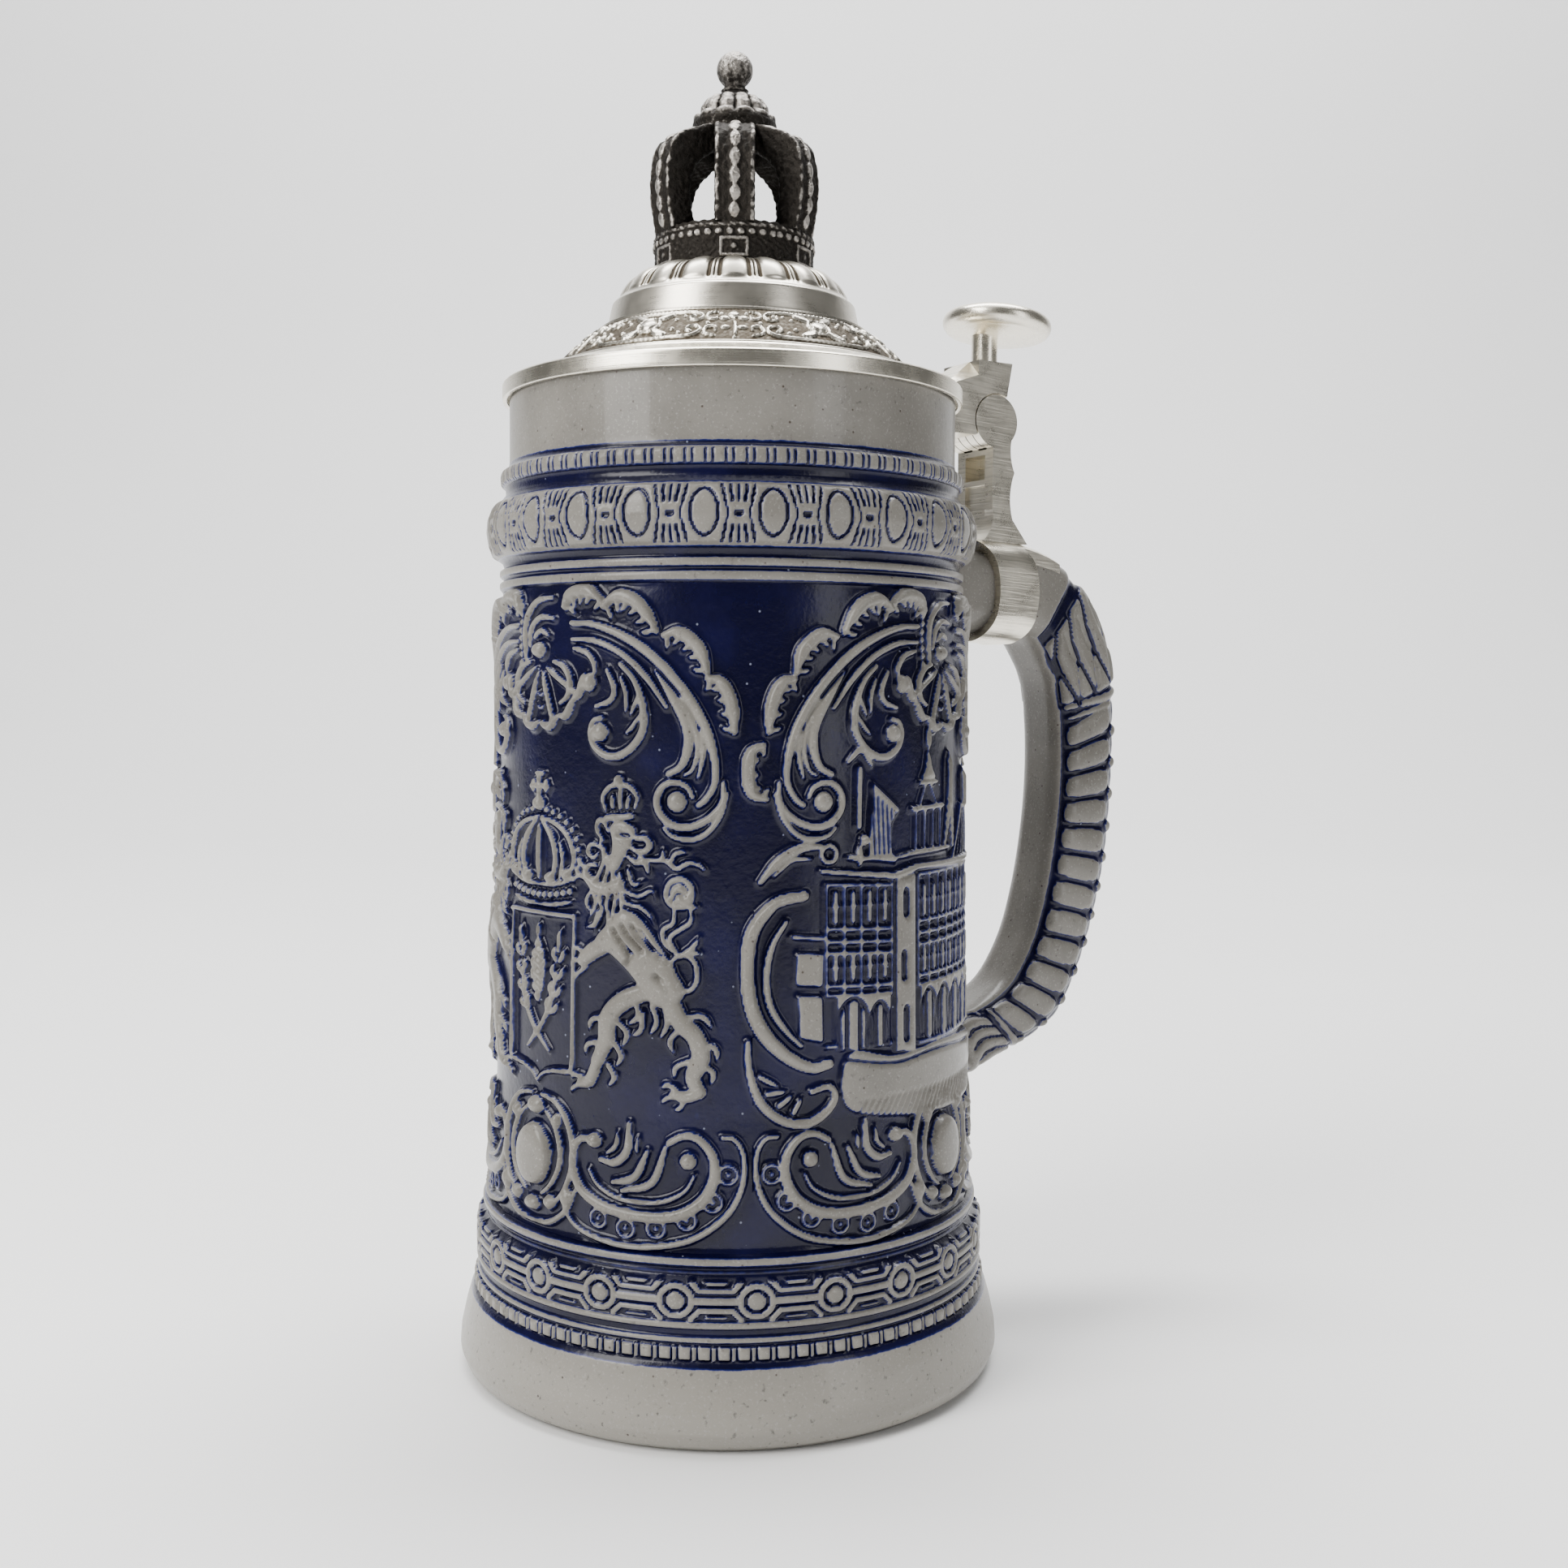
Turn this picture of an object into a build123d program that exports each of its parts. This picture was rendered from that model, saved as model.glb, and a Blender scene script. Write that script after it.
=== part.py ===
from build123d import *
import os

# A one-litre beer stein: a stoneware mug with a luted-on handle, and a pewter lid that turns
# on a five-lug hinge strapped to the handle. Millimetres. The origin is the centre of the
# mug's underside, +Z is up, and the handle stands out along +X.

# --- Mug body, turned; radii of the mouldings are stated beyond the rim's radius ---
rim_height = 203.0        # underside to drinking rim
rim_radius = 46.8         # outside of the plain rim
wall = 4.0                # thickness of the pot at the rim
floor_thickness = 9.0
bore_corner = 8.0         # rounding where the bore meets the floor
rim_rounding = 1.3

foot_stand_out = 7.7      # edge of the underside
foot_swell = 10.6         # widest turn of the foot
foot_swell_height = 8.0   # top of the swell
foot_tuck = 0.6           # how far the swell's top draws in
foot_slope_height = 17.5  # where the slope above the swell ends
band_stand_out = 7.0      # plain band above the foot
band_foot_groove = 1.0    # depth of the groove under that band
band_low = 22.0
band_high = 30.0
groove_stand_out = 4.8    # groove under the picture wall
groove_height = 33.0
panel_low_stand_out = 4.5   # picture wall at its foot, to the middle of the relief
panel_high_stand_out = 2.4  # and at its top
panel_start = 36.5

# Shoulder mouldings, measured down from the rim
panel_drop = 41.0         # top of the picture wall
collar_drop = 36.0        # groove under the shoulder bead
collar_stand_out = 1.6
bead_half_height = 5.7    # the large shoulder bead
bead_stand_out = 4.2
bead_edge_stand_out = 2.5
neck_stand_out = 0.9      # neck above the bead
neck_drop = 21.4
ring_stand_out = 1.5      # small ring under the plain rim
ring_drop = 18.4
rim_band_drop = 14.5      # foot of the plain rim band

# --- Mug handle: a rounded bar along one arm, one bend, the grip, the heel and the tail ---
handle_width = 16.5
handle_depth = 18.0
handle_edge = 4.5         # rounding of the bar's four edges
arm_drop = 38.0           # centre of the arm below the rim
grip_offset = 48.2        # centre of the grip beyond the rim's radius
bend_radius = 27.0
grip_radius = 260.0
grip_angle = 8.7
heel_radius = 58.0
heel_angle = 31.0
tail_radius = 22.0
tail_angle = 26.0
tail_length = 27.0

# --- Hinge ---
hinge_offset = 19.2       # pin axis beyond the rim's radius
hinge_rise = 0.7          # pin axis above the rim
hinge_width = 13.0        # across all five lugs
lug_radius = 6.0
lug_gap = 0.3             # free space beside and round every lug
pin_radius = 1.5
pin_clearance = 0.05      # radial, in the lid's two lugs
plug_radius = 3.3
plug_depth = 0.8

# --- Strap and shank ---
strap_thickness = 2.6
strap_edge = 6.5          # rounding of the strap's outside
strap_length = 11.5       # along the handle
strap_bow = 4.2           # how far both ends of the strap bow outwards at mid height
tongue_length = 12.5      # tongue over the bend, behind the strap
strap_margin = 0.5        # how far the strap's outline runs past what it is cut from
shank_thickness = 6.0
shank_waist = 0.8         # depth of the two hollows in the shank's back
shank_flare = 4.5         # spread of the shank's foot on the strap
shank_bulge = 0.4         # rise of the shank's back between its hollows
pocket_width = 7.2        # square pocket under the lugs
pocket_height = 5.6
pocket_depth = 4.0
pocket_drop = 1.4         # from the foot of the lugs to the pocket
panel_recess = 0.7        # sunk panel on the shank's inner face
panel_gap = 1.2           # between the pocket and that panel
panel_height = 8.0

# --- Lid, one turned casting; heights are above the rim ---
skirt_gap = 0.5           # free space between the rim and the lid's skirt
skirt_thickness = 1.0
skirt_depth = 1.7         # how far the skirt hangs below the rim
lid_gap = 0.3             # free space over the rim when closed
flange_rise = 1.6         # top of the skirt's outer edge
band_foot_radius = 37.3   # foot and top of the relief band
band_foot_rise = 4.8
band_top_radius = 27.8
band_top_rise = 13.2
step_radius = 26.6        # upright step above the band
step_rise = 19.2
step_foot = 0.6           # slope between the band and the step
step_taper = 1.1          # how far the step leans in
dome_radius = 24.4
dome_rise = 19.6
crown_seat_rise = 26.2    # flat top of the dome, under the crown
crown_seat_radius = 17.0
lid_wall = 2.2

# --- Tang, the lid's half of the hinge ---
tang_top_rise = 14.1      # top of the block over the hinge
tang_block = 9.8          # length of that top
tang_drop = 2.8           # how far the tang reaches below the rim
tang_reach = 6.0          # how far it runs onto the lid
tang_bevel = 3.4          # sloping side faces between the lid and the block
tang_slope = (-0.35, 1, 1)  # way that those faces look
tang_overhang = 4.4       # the block's outer end beyond the pin's axis

# --- Thumb knob ---
stem_radius = 3.0
stem_height = 6.0
knob_radius = 12.6
knob_top = 4.7            # bulge above and below the knob's edge
knob_under = 3.8
knob_edge = 2.4           # rounding of that edge
knob_tilt = 6.0
knob_offset = 3.6         # knob centre outwards of the stem
stem_offset = 1.3         # stem's centre outwards of the pin's axis

# --- Crown finial ---
arch_count = 6
arch_width = 8.2
arch_thickness = 5.6
circlet_radius = 17.0
circlet_wall = 2.6
circlet_height = 7.2
arch_swell = 1.2          # how far the arches swell beyond the circlet
arch_inset = 0.4          # arch's foot inside the circlet's outer face
arch_shoulder = 1.6       # how far the shoulder stands inside the circlet's outer face
arch_fall = 4.4           # slope of the arch's top from the cap out to the shoulder
arch_height = 22.6
cap_radius = 8.2
cap_depth = 3.2
cap_height = 7.6
neck_radius = 2.8
neck_height = 1.8
orb_radius = 3.8

# --- Sizes that follow from those above ---
grip_x = rim_radius + grip_offset
arm_z = rim_height - arm_drop
hinge_x = rim_radius + hinge_offset
hinge_z = rim_height + hinge_rise
skirt_radius = rim_radius + skirt_gap
flange_radius = skirt_radius + skirt_thickness
crown_z = rim_height + crown_seat_rise
shank_front = hinge_x - shank_thickness / 6
shank_back = shank_front + shank_thickness
tang_z = rim_height + tang_top_rise
lug_pitch = (hinge_width + lug_gap) / 5
lug_width = lug_pitch - lug_gap
hinge_axis = Plane((hinge_x, 0, hinge_z), z_dir=(0, 1, 0))
everywhere = 4 * rim_height


def turned(*edges):
    """Solid of revolution of an outline drawn as (radius, height) edges that start and end on Z."""
    return revolve(Plane.XZ * make_face(Wire(list(edges)).edges()), Axis.Z)


def path(*stations):
    """Outline edges through (radius, height) stations; a station of two pairs is an arc's
    middle and end."""
    edges = []
    here = stations[0]
    for station in stations[1:]:
        if isinstance(station[0], tuple):
            middle, end = station
            edges.append(ThreePointArc(here, middle, end))
        else:
            end = station
            edges.append(Line(here, end))
        here = end
    if here != stations[0]:
        edges.append(Line(here, stations[0]))
    return edges


def dome_middle(radius, edge, pole):
    """Halfway point of a round dome's outline, which runs level over the axis: the dome's
    ball has its centre on the axis and passes through the edge and the pole."""
    rise = pole - edge
    ball = (radius ** 2 + rise ** 2) / (2 * rise)
    drop = ball - (ball ** 2 - radius ** 2 / 4) ** 0.5 * (1 if ball > 0 else -1)
    return (radius / 2, pole - drop)


def cross_pin(radius, low, high):
    """Cylinder on the hinge axis between two y positions."""
    return Pos(0, (low + high) / 2, 0) * hinge_rod(radius, high - low)


def hinge_rod(radius, length):
    """Cylinder of a length centred on the hinge axis."""
    return hinge_axis * Cylinder(radius, length)


def lug_slab(index, gap=0.0):
    """Block of space of one lug of five, counted from the -Y side, widened by a gap."""
    middle = (index - 2) * lug_pitch
    return Pos(hinge_x, middle, hinge_z) * Box(everywhere, lug_width + 2 * gap, everywhere)


def side_profile(*stations, width):
    """Plate seen from the side: an outline of (x, z) stations, centred on the handle's plane."""
    return extrude(Plane.XZ * make_face(Wire(path(*stations)).edges()), width / 2, both=True)


# --- Mug ---

def mug_outside():
    """The whole turned body without its bore."""
    foot = rim_radius + foot_swell
    neck = rim_radius + neck_stand_out
    bead = rim_radius + bead_stand_out
    bead_edge = rim_radius + bead_edge_stand_out
    bead_top = rim_height - neck_drop - (neck_drop - ring_drop)
    bead_low = bead_top - 2 * bead_half_height
    panel_high = (rim_radius + panel_high_stand_out, rim_height - panel_drop)
    return turned(*path(
        (0, 0),
        (rim_radius + foot_stand_out, 0),
        ((foot, foot_swell_height / 2), (foot - foot_tuck, foot_swell_height)),
        (rim_radius + band_stand_out, foot_slope_height),
        (rim_radius + band_stand_out - band_foot_groove, (foot_slope_height + band_low) / 2),
        (rim_radius + band_stand_out, band_low),
        (rim_radius + band_stand_out, band_high),
        (rim_radius + groove_stand_out, groove_height),
        (rim_radius + panel_low_stand_out, panel_start),
        panel_high,
        (rim_radius + collar_stand_out, rim_height - collar_drop),
        (bead_edge, bead_low),
        ((bead, (bead_low + bead_top) / 2), (bead_edge, bead_top)),
        (neck, rim_height - neck_drop),
        (rim_radius + ring_stand_out, rim_height - ring_drop),
        (rim_radius, rim_height - rim_band_drop),
        (rim_radius, rim_height),
        (0, rim_height),
    ))


def mug_body():
    bore_radius = rim_radius - wall
    bore = Pos(0, 0, floor_thickness) * Cylinder(
        bore_radius, everywhere, align=(Align.CENTER, Align.CENTER, Align.MIN))
    bore = fillet(bore.edges().group_by(Axis.Z)[0], bore_corner)  # the lowest edge
    pot = mug_outside() - bore
    rim_edges = pot.edges().group_by(Axis.Z)[-1]  # the two edges of the drinking rim
    return fillet(rim_edges, min(rim_rounding, 0.4 * wall))


def handle_spine():
    """Centre line of the handle from inside the wall, out, down the grip and back in."""
    arm = Line((rim_radius, arm_z), (grip_x - bend_radius, arm_z))
    bend = JernArc(arm @ 1, arm % 1, bend_radius, -90)
    grip = JernArc(bend @ 1, bend % 1, grip_radius, -grip_angle)
    heel = JernArc(grip @ 1, grip % 1, heel_radius, -heel_angle)
    tail = JernArc(heel @ 1, heel % 1, tail_radius, -tail_angle)
    end = Line(tail @ 1, (tail @ 1) + tail_length * (tail % 1))
    return Plane.XZ * Wire([arm, bend, grip, heel, tail, end])


def handle_bar(extra=0.0, edge=handle_edge):
    """Rounded bar along the handle's centre line, thicker all round by an extra."""
    spine = handle_spine()
    section = Plane((rim_radius, 0, arm_z), x_dir=(0, 1, 0), z_dir=(1, 0, 0)) * RectangleRounded(
        handle_width + 2 * extra, handle_depth + 2 * extra, edge)
    return sweep(section, spine)


def mug_handle():
    return handle_bar() - mug_outside()


# --- Strap, shank and pin: the fixed half of the hinge ---

def handle_strap():
    front = shank_front - shank_flare - strap_margin
    back = front + strap_length
    low = arm_z - handle_depth / 2 - strap_thickness - strap_margin
    high = arm_z + handle_depth / 2 + strap_thickness + strap_margin
    band = side_profile(
        (front, low),
        ((front + strap_bow, arm_z), (front, high)),
        (back, high),
        ((back + strap_bow, arm_z), (back, low)),
        width=everywhere)
    tongue = Pos(back, 0, arm_z) * Box(
        tongue_length, handle_width, everywhere, align=(Align.MIN, Align.CENTER, Align.MIN))
    shell = handle_bar(strap_thickness, strap_edge)
    return (shell & (band + tongue)) - handle_bar() - mug_outside()


def hinge_shank():
    waist = shank_back - shank_waist
    foot = arm_z + handle_depth / 2 + 0.8 * strap_thickness
    top = hinge_z - lug_radius
    step = (top - foot) / 4
    bar = side_profile(
        (shank_front - 0.7 * shank_flare, foot),
        ((shank_front - 0.2 * shank_flare, foot + 0.4 * step), (shank_front, foot + 1.4 * step)),
        (shank_front, top),
        (hinge_x, hinge_z),
        (hinge_x + lug_radius, hinge_z),
        ((waist, top), (shank_back + shank_bulge, top - step)),
        ((waist, foot + 2 * step), (shank_back, foot + step)),
        (shank_back + shank_flare, foot),
        width=hinge_width)
    solid = bar + hinge_rod(lug_radius, hinge_width)
    for index in (1, 3):
        solid -= hinge_rod(lug_radius + lug_gap, hinge_width) & lug_slab(index, lug_gap)
    solid -= Pos(shank_front, 0, top - pocket_drop) * Box(
        2 * pocket_depth, pocket_width, pocket_height,
        align=(Align.CENTER, Align.CENTER, Align.MAX))
    solid -= Pos(shank_front, 0, top - pocket_drop - pocket_height - panel_gap) * Box(
        2 * panel_recess, pocket_width, panel_height,
        align=(Align.CENTER, Align.CENTER, Align.MAX))
    solid -= hinge_rod(pin_radius, everywhere)
    for side in (-1, 1):
        solid -= plug(side)
    return solid - handle_strap() - handle_bar()


def plug(side):
    """Pewter disc that closes one end of the pin's hole."""
    outer = side * hinge_width / 2
    inner = side * (hinge_width / 2 - plug_depth)
    return cross_pin(plug_radius, min(outer, inner), max(outer, inner))


def hinge_pin():
    return hinge_rod(pin_radius, hinge_width - 2 * plug_depth)


# --- Lid ---

def lid_outline(inset=0.0):
    """Stations of the lid's upper side, from the skirt's top edge in to the flat crown seat."""
    return (
        (flange_radius - inset, rim_height + flange_rise - inset),
        (band_foot_radius - inset, rim_height + band_foot_rise - inset),
        (band_top_radius - inset, rim_height + band_top_rise - inset),
        (step_radius - inset, rim_height + band_top_rise + step_foot - inset),
        (step_radius - inset - step_taper, rim_height + step_rise - inset),
        (dome_radius - inset, rim_height + dome_rise - inset),
        (crown_seat_radius - inset, crown_z - inset),
        (0, crown_z - inset),
    )


def lid_filled():
    """The lid's outside as one block down to the foot of its skirt."""
    bottom = rim_height - skirt_depth
    return turned(*path((0, bottom), (flange_radius, bottom), *lid_outline()))


def lid_shell():
    under = rim_height + lid_gap
    rim_space = Cylinder(skirt_radius, under, align=(Align.CENTER, Align.CENTER, Align.MIN))
    hollow = turned(*path((0, under - 1), (band_foot_radius - lid_wall, under - 1),
                          *lid_outline(lid_wall)[1:]))
    return lid_filled() - rim_space - hollow


def lid_tang():
    """Block, wedge and two lugs that carry the lid on the pin."""
    block_start = hinge_x + tang_overhang - tang_block
    low = rim_height - tang_drop
    body = side_profile(
        (flange_radius - tang_reach, low),
        (flange_radius - tang_reach, rim_height + flange_rise),
        (block_start, tang_z),
        (block_start + tang_block, tang_z),
        (hinge_x + 0.5 * lug_radius, hinge_z + lug_radius),
        (hinge_x, hinge_z),
        (hinge_x - lug_radius, low),
        width=hinge_width)
    slope = Plane((block_start, hinge_width / 2, tang_z - tang_bevel), z_dir=tang_slope)
    bevel = slope * Box(everywhere, everywhere, everywhere,
                        align=(Align.CENTER, Align.CENTER, Align.MIN))
    ahead = Pos(block_start, 0, tang_z) * Box(
        everywhere, everywhere, everywhere, align=(Align.MAX, Align.CENTER, Align.CENTER))
    for cut in (bevel, mirror(bevel, Plane.XZ)):
        body -= cut & ahead
    solid = body - hinge_rod(lug_radius + lug_gap, everywhere)
    for index in (1, 3):
        lug = (body + hinge_rod(lug_radius, hinge_width)) & lug_slab(index)
        solid += lug
    solid -= hinge_rod(pin_radius + pin_clearance, everywhere)
    solid -= Cylinder(flange_radius, rim_height, align=(Align.CENTER, Align.CENTER, Align.MIN))
    return solid - lid_filled()


def thumb_knob():
    """Mushroom knob on a short stem, cast in one and set on the tang."""
    stem_x = hinge_x + stem_offset
    edge_z = tang_z + stem_height + knob_under
    stem = Pos(stem_x, 0, tang_z) * Cylinder(
        stem_radius, stem_height + knob_under, align=(Align.CENTER, Align.CENTER, Align.MIN))
    brim = knob_radius - knob_edge
    mushroom = turned(*path(
        (0, -knob_under),
        (dome_middle(brim, -knob_edge, -knob_under), (brim, -knob_edge)),
        ((knob_radius, 0), (brim, knob_edge)),
        (dome_middle(brim, knob_edge, knob_top), (0, knob_top)),
    ))
    return stem + Pos(stem_x + knob_offset, 0, edge_z) * Rot(0, knob_tilt, 0) * mushroom


# --- Crown ---

def crown_circlet():
    seat = crown_z - 1
    ring = Pos(0, 0, seat) * (
        Cylinder(circlet_radius, circlet_height + 1, align=(Align.CENTER, Align.CENTER, Align.MIN))
        - Cylinder(circlet_radius - circlet_wall, everywhere))
    return ring - lid_filled()


def crown_arch(index):
    """One rib from the circlet up and in to the cap."""
    foot = crown_z + circlet_height
    top = crown_z + circlet_height + arch_height
    out = circlet_radius + arch_swell
    rib = side_profile(
        (circlet_radius - arch_inset - arch_thickness, foot),
        (circlet_radius - arch_inset, foot),
        ((out, foot + 0.6 * arch_height), (circlet_radius - arch_shoulder, top - arch_fall)),
        (cap_radius - 1, top),
        (cap_radius - 1, top - arch_thickness),
        (circlet_radius - arch_shoulder - 2, top - arch_fall + 0.2 - arch_thickness),
        ((out - arch_thickness, foot + 0.55 * arch_height),
         (circlet_radius - arch_inset - arch_thickness, foot)),
        width=arch_width)
    hub = Pos(0, 0, top) * Cylinder(cap_radius, everywhere)
    return Rot(0, 0, 360 / arch_count * index) * (rib - hub)


def crown_cap():
    top = crown_z + circlet_height + arch_height
    return turned(*path(
        (0, top - cap_depth),
        (cap_radius, top - cap_depth),
        (cap_radius, top),
        ((0.86 * cap_radius, top + 0.55 * cap_height), (neck_radius, top + cap_height)),
        (0, top + cap_height),
    ))


def crown_orb():
    """Ball on a short neck, on top of the cap."""
    foot = crown_z + circlet_height + arch_height + cap_height
    neck = Pos(0, 0, foot) * Cylinder(
        neck_radius, neck_height + orb_radius / 2, align=(Align.CENTER, Align.CENTER, Align.MIN))
    return neck + Pos(0, 0, foot + neck_height + 0.8 * orb_radius) * Sphere(orb_radius)


def save(node, shape):
    export_step(shape, f"parts/{node}.step")


os.makedirs("parts", exist_ok=True)
save("mug_body", mug_body())
save("mug_handle", mug_handle())
save("handle_strap", handle_strap())
save("hinge_shank", hinge_shank())
save("hinge_pin", hinge_pin())
save("pin_plug_near", plug(-1))
save("pin_plug_far", plug(1))
save("lid_shell", lid_shell())
save("lid_tang", lid_tang())
save("thumb_knob", thumb_knob())
save("crown_circlet", crown_circlet())
for number in range(arch_count):
    save(f"crown_arch_{number + 1}", crown_arch(number))
save("crown_cap", crown_cap())
save("crown_orb", crown_orb())
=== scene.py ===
import bpy
import numpy as np
from mathutils import Matrix, Vector


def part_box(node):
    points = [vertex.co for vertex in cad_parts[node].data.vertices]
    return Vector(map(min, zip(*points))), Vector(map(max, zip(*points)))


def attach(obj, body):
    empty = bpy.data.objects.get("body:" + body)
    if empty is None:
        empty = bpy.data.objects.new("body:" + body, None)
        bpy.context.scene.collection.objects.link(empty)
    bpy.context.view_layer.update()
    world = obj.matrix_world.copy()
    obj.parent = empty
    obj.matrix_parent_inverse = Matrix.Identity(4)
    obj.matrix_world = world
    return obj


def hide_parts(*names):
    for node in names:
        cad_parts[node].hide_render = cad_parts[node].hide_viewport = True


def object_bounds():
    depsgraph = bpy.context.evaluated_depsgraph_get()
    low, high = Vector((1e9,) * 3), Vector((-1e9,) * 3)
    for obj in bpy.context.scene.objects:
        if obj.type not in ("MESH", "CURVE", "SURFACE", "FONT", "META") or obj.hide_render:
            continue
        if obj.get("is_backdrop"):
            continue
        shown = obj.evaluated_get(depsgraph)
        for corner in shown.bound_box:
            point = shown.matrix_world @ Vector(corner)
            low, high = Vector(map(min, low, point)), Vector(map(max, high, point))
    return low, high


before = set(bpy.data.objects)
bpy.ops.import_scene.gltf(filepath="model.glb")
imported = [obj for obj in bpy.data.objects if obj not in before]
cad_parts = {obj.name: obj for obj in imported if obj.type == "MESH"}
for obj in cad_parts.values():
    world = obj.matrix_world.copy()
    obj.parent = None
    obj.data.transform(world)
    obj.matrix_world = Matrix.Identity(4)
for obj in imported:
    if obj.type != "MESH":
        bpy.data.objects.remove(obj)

cad_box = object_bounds()


# --- Studio ---
# The stein stands on a pale table top that sweeps up behind it. One large soft lamp at the
# left and a weaker one at the right light it, and the camera stands a little above mid height.

view_azimuth = np.radians(-32.0)      # the camera's place round the mug, counted from -Y
view_distance = 0.36614               # from the mug's axis, in metres
view_aside = 0.01121
view_height = 0.14085
view_pitch = np.radians(2.98)
view_roll = np.radians(-0.35)
lens_mm = 39.3

rightwards = Vector((np.cos(view_azimuth), np.sin(view_azimuth), 0))
away = Vector((-np.sin(view_azimuth), np.cos(view_azimuth), 0))
sight = away * np.cos(view_pitch) - Vector((0, 0, np.sin(view_pitch)))
level_up = rightwards.cross(sight)
camera_right = rightwards * np.cos(view_roll) - level_up * np.sin(view_roll)
camera_up = rightwards * np.sin(view_roll) + level_up * np.cos(view_roll)

camera = bpy.data.objects.new("camera", bpy.data.cameras.new("camera"))
camera.data.lens = lens_mm
camera.data.sensor_width = 36
camera.data.clip_start = 0.01
camera.matrix_world = Matrix.Translation(
    rightwards * view_aside - away * view_distance + Vector((0, 0, view_height))
) @ Matrix((camera_right, camera_up, -sight)).transposed().to_4x4()
bpy.context.scene.collection.objects.link(camera)
bpy.context.scene.camera = camera


def soft_lamp(name, place, target, size, power, colour=(1, 1, 1)):
    """Square area lamp at a place, turned to face a target; all in metres and watts."""
    lamp = bpy.data.lights.new(name, "AREA")
    lamp.shape = "RECTANGLE"
    lamp.size, lamp.size_y = size
    lamp.energy = power
    lamp.color = colour
    holder = bpy.data.objects.new(name, lamp)
    holder.location = place
    holder.rotation_euler = (Vector(target) - Vector(place)).to_track_quat("-Z", "Y").to_euler()
    bpy.context.scene.collection.objects.link(holder)
    return holder


middle = Vector((0, 0, 0.13))
key_place = middle - rightwards * 0.62 - away * 0.50 + Vector((0, 0, 0.52))
soft_lamp("key_lamp", key_place, middle, (0.42, 0.8), 13.0, (1.0, 0.985, 0.96))
soft_lamp("fill_lamp", middle + rightwards * 0.8 - away * 0.7 + Vector((0, 0, 0.25)),
          middle, (0.3, 0.9), 3.0)
soft_lamp("top_lamp", middle + away * 0.1 + Vector((0, 0, 1.0)), middle, (0.9, 0.9), 6.5)
soft_lamp("backdrop_lamp", away * 0.55 + Vector((0, 0, 2.2)),
          away * 1.5 + Vector((0, 0, 0.3)), (2.4, 0.8), 100.0)

world = bpy.data.worlds.new("studio_air")
world.use_nodes = True
world.node_tree.nodes["Background"].inputs["Color"].default_value = (1.0, 1.0, 1.0, 1)
world.node_tree.nodes["Background"].inputs["Strength"].default_value = 0.13
bpy.context.scene.world = world


class Stuff:
    """One output socket of a material's nodes. Sums, differences and products of these with
    each other or with plain numbers add Math nodes to the same material."""

    def __init__(self, tree, socket):
        self.tree = tree
        self.socket = socket

    def make(self, kind, settings=None, inputs=None, output=0):
        """Adds a node of a type: its settings first, then its sockets' values or links, and
        hands back one of its outputs."""
        node = self.tree.nodes.new(kind)
        for name, value in (settings or {}).items():
            setattr(node, name, value)
        for name, value in (inputs or {}).items():
            if isinstance(value, Stuff):
                self.tree.links.new(value.socket, node.inputs[name])
            else:
                node.inputs[name].default_value = value
        return Stuff(self.tree, node.outputs[output])

    def sum(self, operation, *terms):
        """A Math node that works on the terms in their order."""
        inputs = {place: term for place, term in enumerate(terms)}
        return self.make("ShaderNodeMath", {"operation": operation}, inputs)

    def __add__(self, other):
        return self.sum("ADD", self, other)

    def __sub__(self, other):
        return self.sum("SUBTRACT", self, other)

    def __rsub__(self, other):
        return self.sum("SUBTRACT", other, self)

    def __mul__(self, other):
        return self.sum("MULTIPLY", self, other)

    def step(self, low, high):
        """Zero below low, one above high, and a smooth ramp between."""
        return self.make("ShaderNodeMapRange", {"interpolation_type": "SMOOTHSTEP"},
                         {"Value": self, "From Min": low, "From Max": high})

    def noise(self, size, detail=3.0, roughness=0.55):
        """Cloudy noise of a grain size in metres, between zero and one, at this position."""
        return self.make("ShaderNodeTexNoise", inputs={
            "Vector": self, "Scale": 1 / size, "Detail": detail, "Roughness": roughness})

    def blend(self, first, second):
        """Two colours mixed by this value: the first at zero, the second at one."""
        return self.make("ShaderNodeMix", {"data_type": "RGBA"}, {0: self, 6: first, 7: second}, 2)


def new_material(name, **fixed):
    """A Principled material with its fixed sockets set, and its Object position to build on."""
    material = bpy.data.materials.new(name)
    material.use_nodes = True
    shader = material.node_tree.nodes["Principled BSDF"]
    for socket, value in fixed.items():
        shader.inputs[socket.replace("_", " ")].default_value = value
    start = Stuff(material.node_tree, None)
    place = start.make("ShaderNodeTexCoord", output="Object")
    return material, place


def finish_material(material, **links):
    """Joins worked-out values to the named sockets of the material's shader."""
    shader = material.node_tree.nodes["Principled BSDF"]
    for socket, value in links.items():
        material.node_tree.links.new(value.socket, shader.inputs[socket.replace("_", " ")])
    return material


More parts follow.
